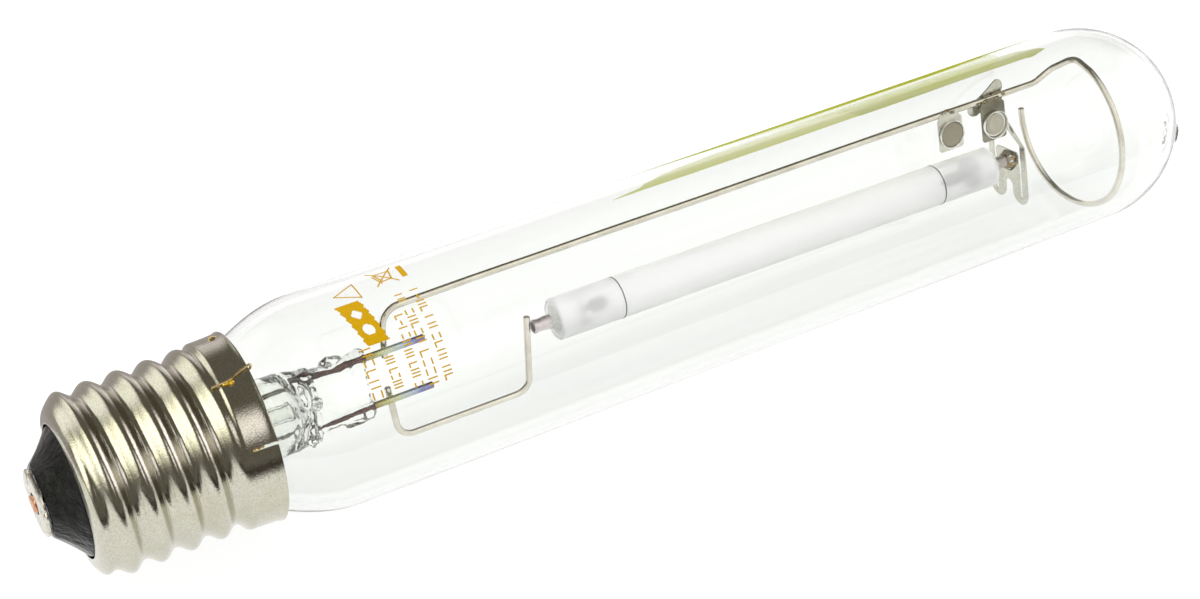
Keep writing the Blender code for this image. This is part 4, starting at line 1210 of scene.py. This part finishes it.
def build_print():
    """Marks with the photo's size, colour and places, but without any letter."""
    marks = flag_cells()
    corners = ((67.4, -7.4), (72.3, -0.4), (72.4, -14.0))
    for start, end in zip(corners, corners[1:] + corners[:1]):
        marks += stroke(start, end, 0.3)
    crossed_box = (((76.4, -19.2), (81.2, -3.8)), ((76.6, -4.2), (81.6, -18.2)), ((77.6, -15.6), (80.8, -15.2)),
                   ((77.4, -15.6), (78.2, -7.0)), ((80.8, -15.2), (80.2, -7.4)), ((78.2, -7.0), (80.2, -7.4)),
                   ((77.0, -13.6), (77.8, -5.8)))
    for start, end in crossed_box:
        marks += stroke(start, end, 0.32)
    marks += [(82.6 - 0.023 * i, 83.8 - 0.023 * i, -17.0 + i, -16.0 + i) for i in range(12)]
    rows = (([(67.4, 29.5), (66.9, 38.4), (66.4, 57.0)], (4, 2, 5, 4, 2), 2.2),
            ([(79.1, 6.0), (79.3, 12.0)], (1, 4), 1.7),
            ([(76.8, 18.0), (76.4, 28.9), (75.7, 36.0)], (5, 3, 1, 2, 4), 1.9),
            ([(71.3, 37.0), (71.2, 56.0)], (4, 1, 5, 2, 4, 1), 2.0),
            ([(79.3, 17.0), (79.0, 37.0)], (2, 4, 5, 2, 4), 1.9),
            ([(75.6, 37.0), (75.3, 57.5)], (4, 1, 5, 4, 1, 2), 1.9),
            ([(82.5, 6.0), (82.4, 22.0)], (1, 3, 4, 5), 1.8),
            ([(78.6, 40.0), (78.4, 59.0)], (5, 2, 2, 4), 2.1),
            ([(82.5, 24.0), (82.3, 32.0)], (1, 4), 1.9),
            ([(82.2, 34.0), (81.9, 46.0), (81.8, 59.5)], (2, 5, 4, 1, 4, 5), 1.9))
    for route, pattern, height in rows:
        marks += mark_row(route, pattern, height)
    show("glass_print", joined(*printed_cells(marks)), "amber_enamel", [], sharp=30)


# ---- studio ----
FOCAL = 69.9
CAMERA_AT = Vector((-61.8, -335.65, 325.36))
CAMERA_ELEVATION = 40.21
CAMERA_AZIMUTH = -29.39
FLOOR_Z = BULB_LOW.z


def build_camera():
    data = bpy.data.cameras.new("camera")
    data.lens = FOCAL
    data.sensor_width = 36.0
    data.clip_start, data.clip_end = 0.01, 100.0
    camera = bpy.data.objects.new("camera", data)
    camera.location = CAMERA_AT * MM
    camera.rotation_euler = (math.radians(90 - CAMERA_ELEVATION), 0, math.radians(CAMERA_AZIMUTH))
    bpy.context.scene.collection.objects.link(camera)
    bpy.context.scene.camera = camera


def stage_sheet(name, corners, mat, only_reflected=True, through=False):
    """One flat polygon of the studio."""
    mesh = bpy.data.meshes.new(name)
    mesh.from_pydata([Vector(c) * MM for c in corners], [], [tuple(range(len(corners)))])
    mesh.materials.append(mat)
    card = bpy.data.objects.new(name, mesh)
    bpy.context.scene.collection.objects.link(card)
    if only_reflected:
        card.visible_camera = False
        card.visible_diffuse = False
        card.visible_transmission = through
        card.visible_shadow = False


def level_corners(places, z):
    return [(x, y, z) for x, y in places]


def rectangle(x0, x1, y0, y1):
    return [(x0, y0), (x1, y0), (x1, y1), (x0, y1)]


def build_floor():
    """The pale table, and the cards that only reflections see."""
    paint = Paint("light_table", (0.22, 0.22, 0.22), 0.9, Emission_Strength=0.88, IOR=1.01)
    soft = paint.noise(60.0, detail=2)
    paint.set("Emission Color", (1.0, 1.0, 0.995, 1.0))
    paint.color(paint.ramp(soft, [(0.3, (0.21, 0.21, 0.21)), (0.7, (0.23, 0.23, 0.23))]))
    half = 30000
    stage_sheet("floor", level_corners(rectangle(-half, half, -half, half), FLOOR_Z), paint.mat, False)

    reach, level = 4000, FLOOR_Z + 1
    back_y, notch_x = 46, 62
    green_low, green_y = FLOOR_Z + 1.5, 70
    front = rectangle(-reach / 2, reach / 2, -105 - reach, -105)
    back = [(-reach, back_y), (notch_x, back_y), (notch_x + 0.45 * reach, back_y + reach),
            (-reach, back_y + reach)]
    upright = [(176, green_y, green_low), (276, green_y, green_low), (278, green_y, 44), (262, green_y, 48),
               (226, green_y, 30), (176, green_y, green_low + 5)]
    flat = [(163, 62), (290, 62), (298, 66), (292, 124), (222, 112), (172, 66)]
    deep = [(236, 61.5), (292, 61.5), (299, 66), (293, 124), (244, 112)]
    # painted reflections: the dark front flag, the pale back flag and the green cards glow only in what the
    # lamp reflects, and the green sheets also in what the glass lets through
    green = card_paint("green_card", (0.55, 0.58, 0.08))
    stage_sheet("front_flag", level_corners(front, level), card_paint("front_flag", (0.055, 0.043, 0.035)))
    stage_sheet("back_flag", level_corners(back, level), card_paint("back_flag", (0.46, 0.42, 0.415)))
    stage_sheet("green_card", upright, green)
    stage_sheet("green_sheet", level_corners(flat, level), green, through=True)
    stage_sheet("deep_green_sheet", level_corners(deep, level + 0.2),
                card_paint("deep_green_card", (0.42, 0.45, 0.0)), through=True)


def card_paint(name, color):
    """A plain glowing card, a painted reflection that the camera never sees."""
    card = bpy.data.materials.new(name)
    card.use_nodes = True
    card.node_tree.nodes.clear()
    nodes = Nodes(card.node_tree)
    shine = nodes.add("ShaderNodeEmission")
    nodes.fill(shine.inputs["Color"], color)
    nodes.link(shine.outputs["Emission"], nodes.add("ShaderNodeOutputMaterial").inputs["Surface"])
    return card


def build_world():
    """The room as the lamp sees it: one tone for plain light, one set for mirrors, one for glass."""
    world = bpy.data.worlds.new("studio")
    bpy.context.scene.world = world
    world.use_nodes = True
    world.node_tree.nodes.clear()
    sky = Nodes(world.node_tree)
    shine = sky.add("ShaderNodeBackground")
    coords = sky.add("ShaderNodeTexCoord").outputs["Generated"]
    split = sky.add("ShaderNodeSeparateXYZ")
    rays = sky.add("ShaderNodeLightPath").outputs
    sky.link(coords, split.inputs["Vector"])

    def band(socket, start, end):
        return sky.spread(socket, 0, 1, start, end, interpolation_type="SMOOTHSTEP")

    def lobe(azimuth, elevation, inner, outer):
        """1 within inner degrees of a direction, 0 beyond outer. Azimuth 0 is towards -Y, 90 towards +X."""
        a, e = math.radians(azimuth), math.radians(elevation)
        dot = sky.add("ShaderNodeVectorMath", operation="DOT_PRODUCT")
        sky.link(coords, dot.inputs[0])
        dot.inputs[1].default_value = (math.sin(a) * math.cos(e), -math.cos(a) * math.cos(e), math.sin(e))
        return band(dot.outputs["Value"], math.cos(math.radians(outer)), math.cos(math.radians(inner)))

    mirrored = (0.155, 0.142, 0.118)
    for place, tone in (((-84, 36, 10, 36), (2.5, 2.45, 2.1)), ((88, 17, 12, 31), (2.1, 1.95, 2.05)),
                        ((160, 2, 5, 32), (0.95, 0.87, 0.9)), ((18, 42, 3, 21), (1.6, 1.5, 1.55)),
                        ((-146, 20, 6, 33), (1.45, 1.44, 1.35))):
        mirrored = sky.mix(lobe(*place), mirrored, tone)

    back = band(split.outputs["Y"], -0.08, 0.14)
    above = band(split.outputs["Z"], 0.08, 0.17)
    below = band(split.outputs["Z"], 0.99, 0.93)
    dark_share = sky.maths("MULTIPLY", sky.maths("MULTIPLY", back, above), below)
    through = sky.mix(lobe(22, 43, 5, 24), (1.05, 1.03, 0.99), (1.6, 1.53, 1.42))
    through = sky.mix(dark_share, through, (0.09, 0.085, 0.055))
    through = sky.mix(rays["Diffuse Depth"], through, (1.32, 1.32, 1.32))

    plain = (1.0, 1.0, 1.0)
    seen = sky.mix(rays["Is Glossy Ray"], plain, mirrored)
    seen = sky.mix(rays["Is Transmission Ray"], seen, through)
    seen = sky.mix(rays["Is Camera Ray"], seen, plain)
    sky.link(seen, shine.inputs["Color"])
    sky.link(shine.outputs["Background"], sky.add("ShaderNodeOutputWorld").inputs["Surface"])
    world.cycles.sampling_method = "NONE"


def build_light():
    """One soft lamp over the table, seen by nothing but plain surfaces."""
    place, target = Vector((230, 120, 900)) * MM, Vector((140, 0, 0)) * MM
    data = bpy.data.lights.new("overhead", "AREA")
    data.shape = "RECTANGLE"
    data.size, data.size_y = 900 * MM, 700 * MM
    data.energy = 3.6
    data.color = (1.0, 0.99, 0.97)
    light = bpy.data.objects.new("overhead", data)
    light.location = place
    light.rotation_euler = (target - place).to_track_quat("-Z", "Y").to_euler()
    light.visible_camera = False
    light.visible_glossy = False
    light.visible_transmission = False
    bpy.context.scene.collection.objects.link(light)


def build_lamp():
    make_finishes()
    build_cap()
    show("bulb_glass", bulb_solid(), "bulb_glass", ["outer_bulb"], sharp=60)
    build_stem()
    build_leads()
    build_frame_wires()
    build_getters()
    build_clip()
    build_connector()
    build_arc_tube()
    build_link_teeth()
    build_print()


build_camera()
build_lamp()
build_floor()
build_world()
build_light()
bpy.context.scene.view_settings.view_transform = "Standard"
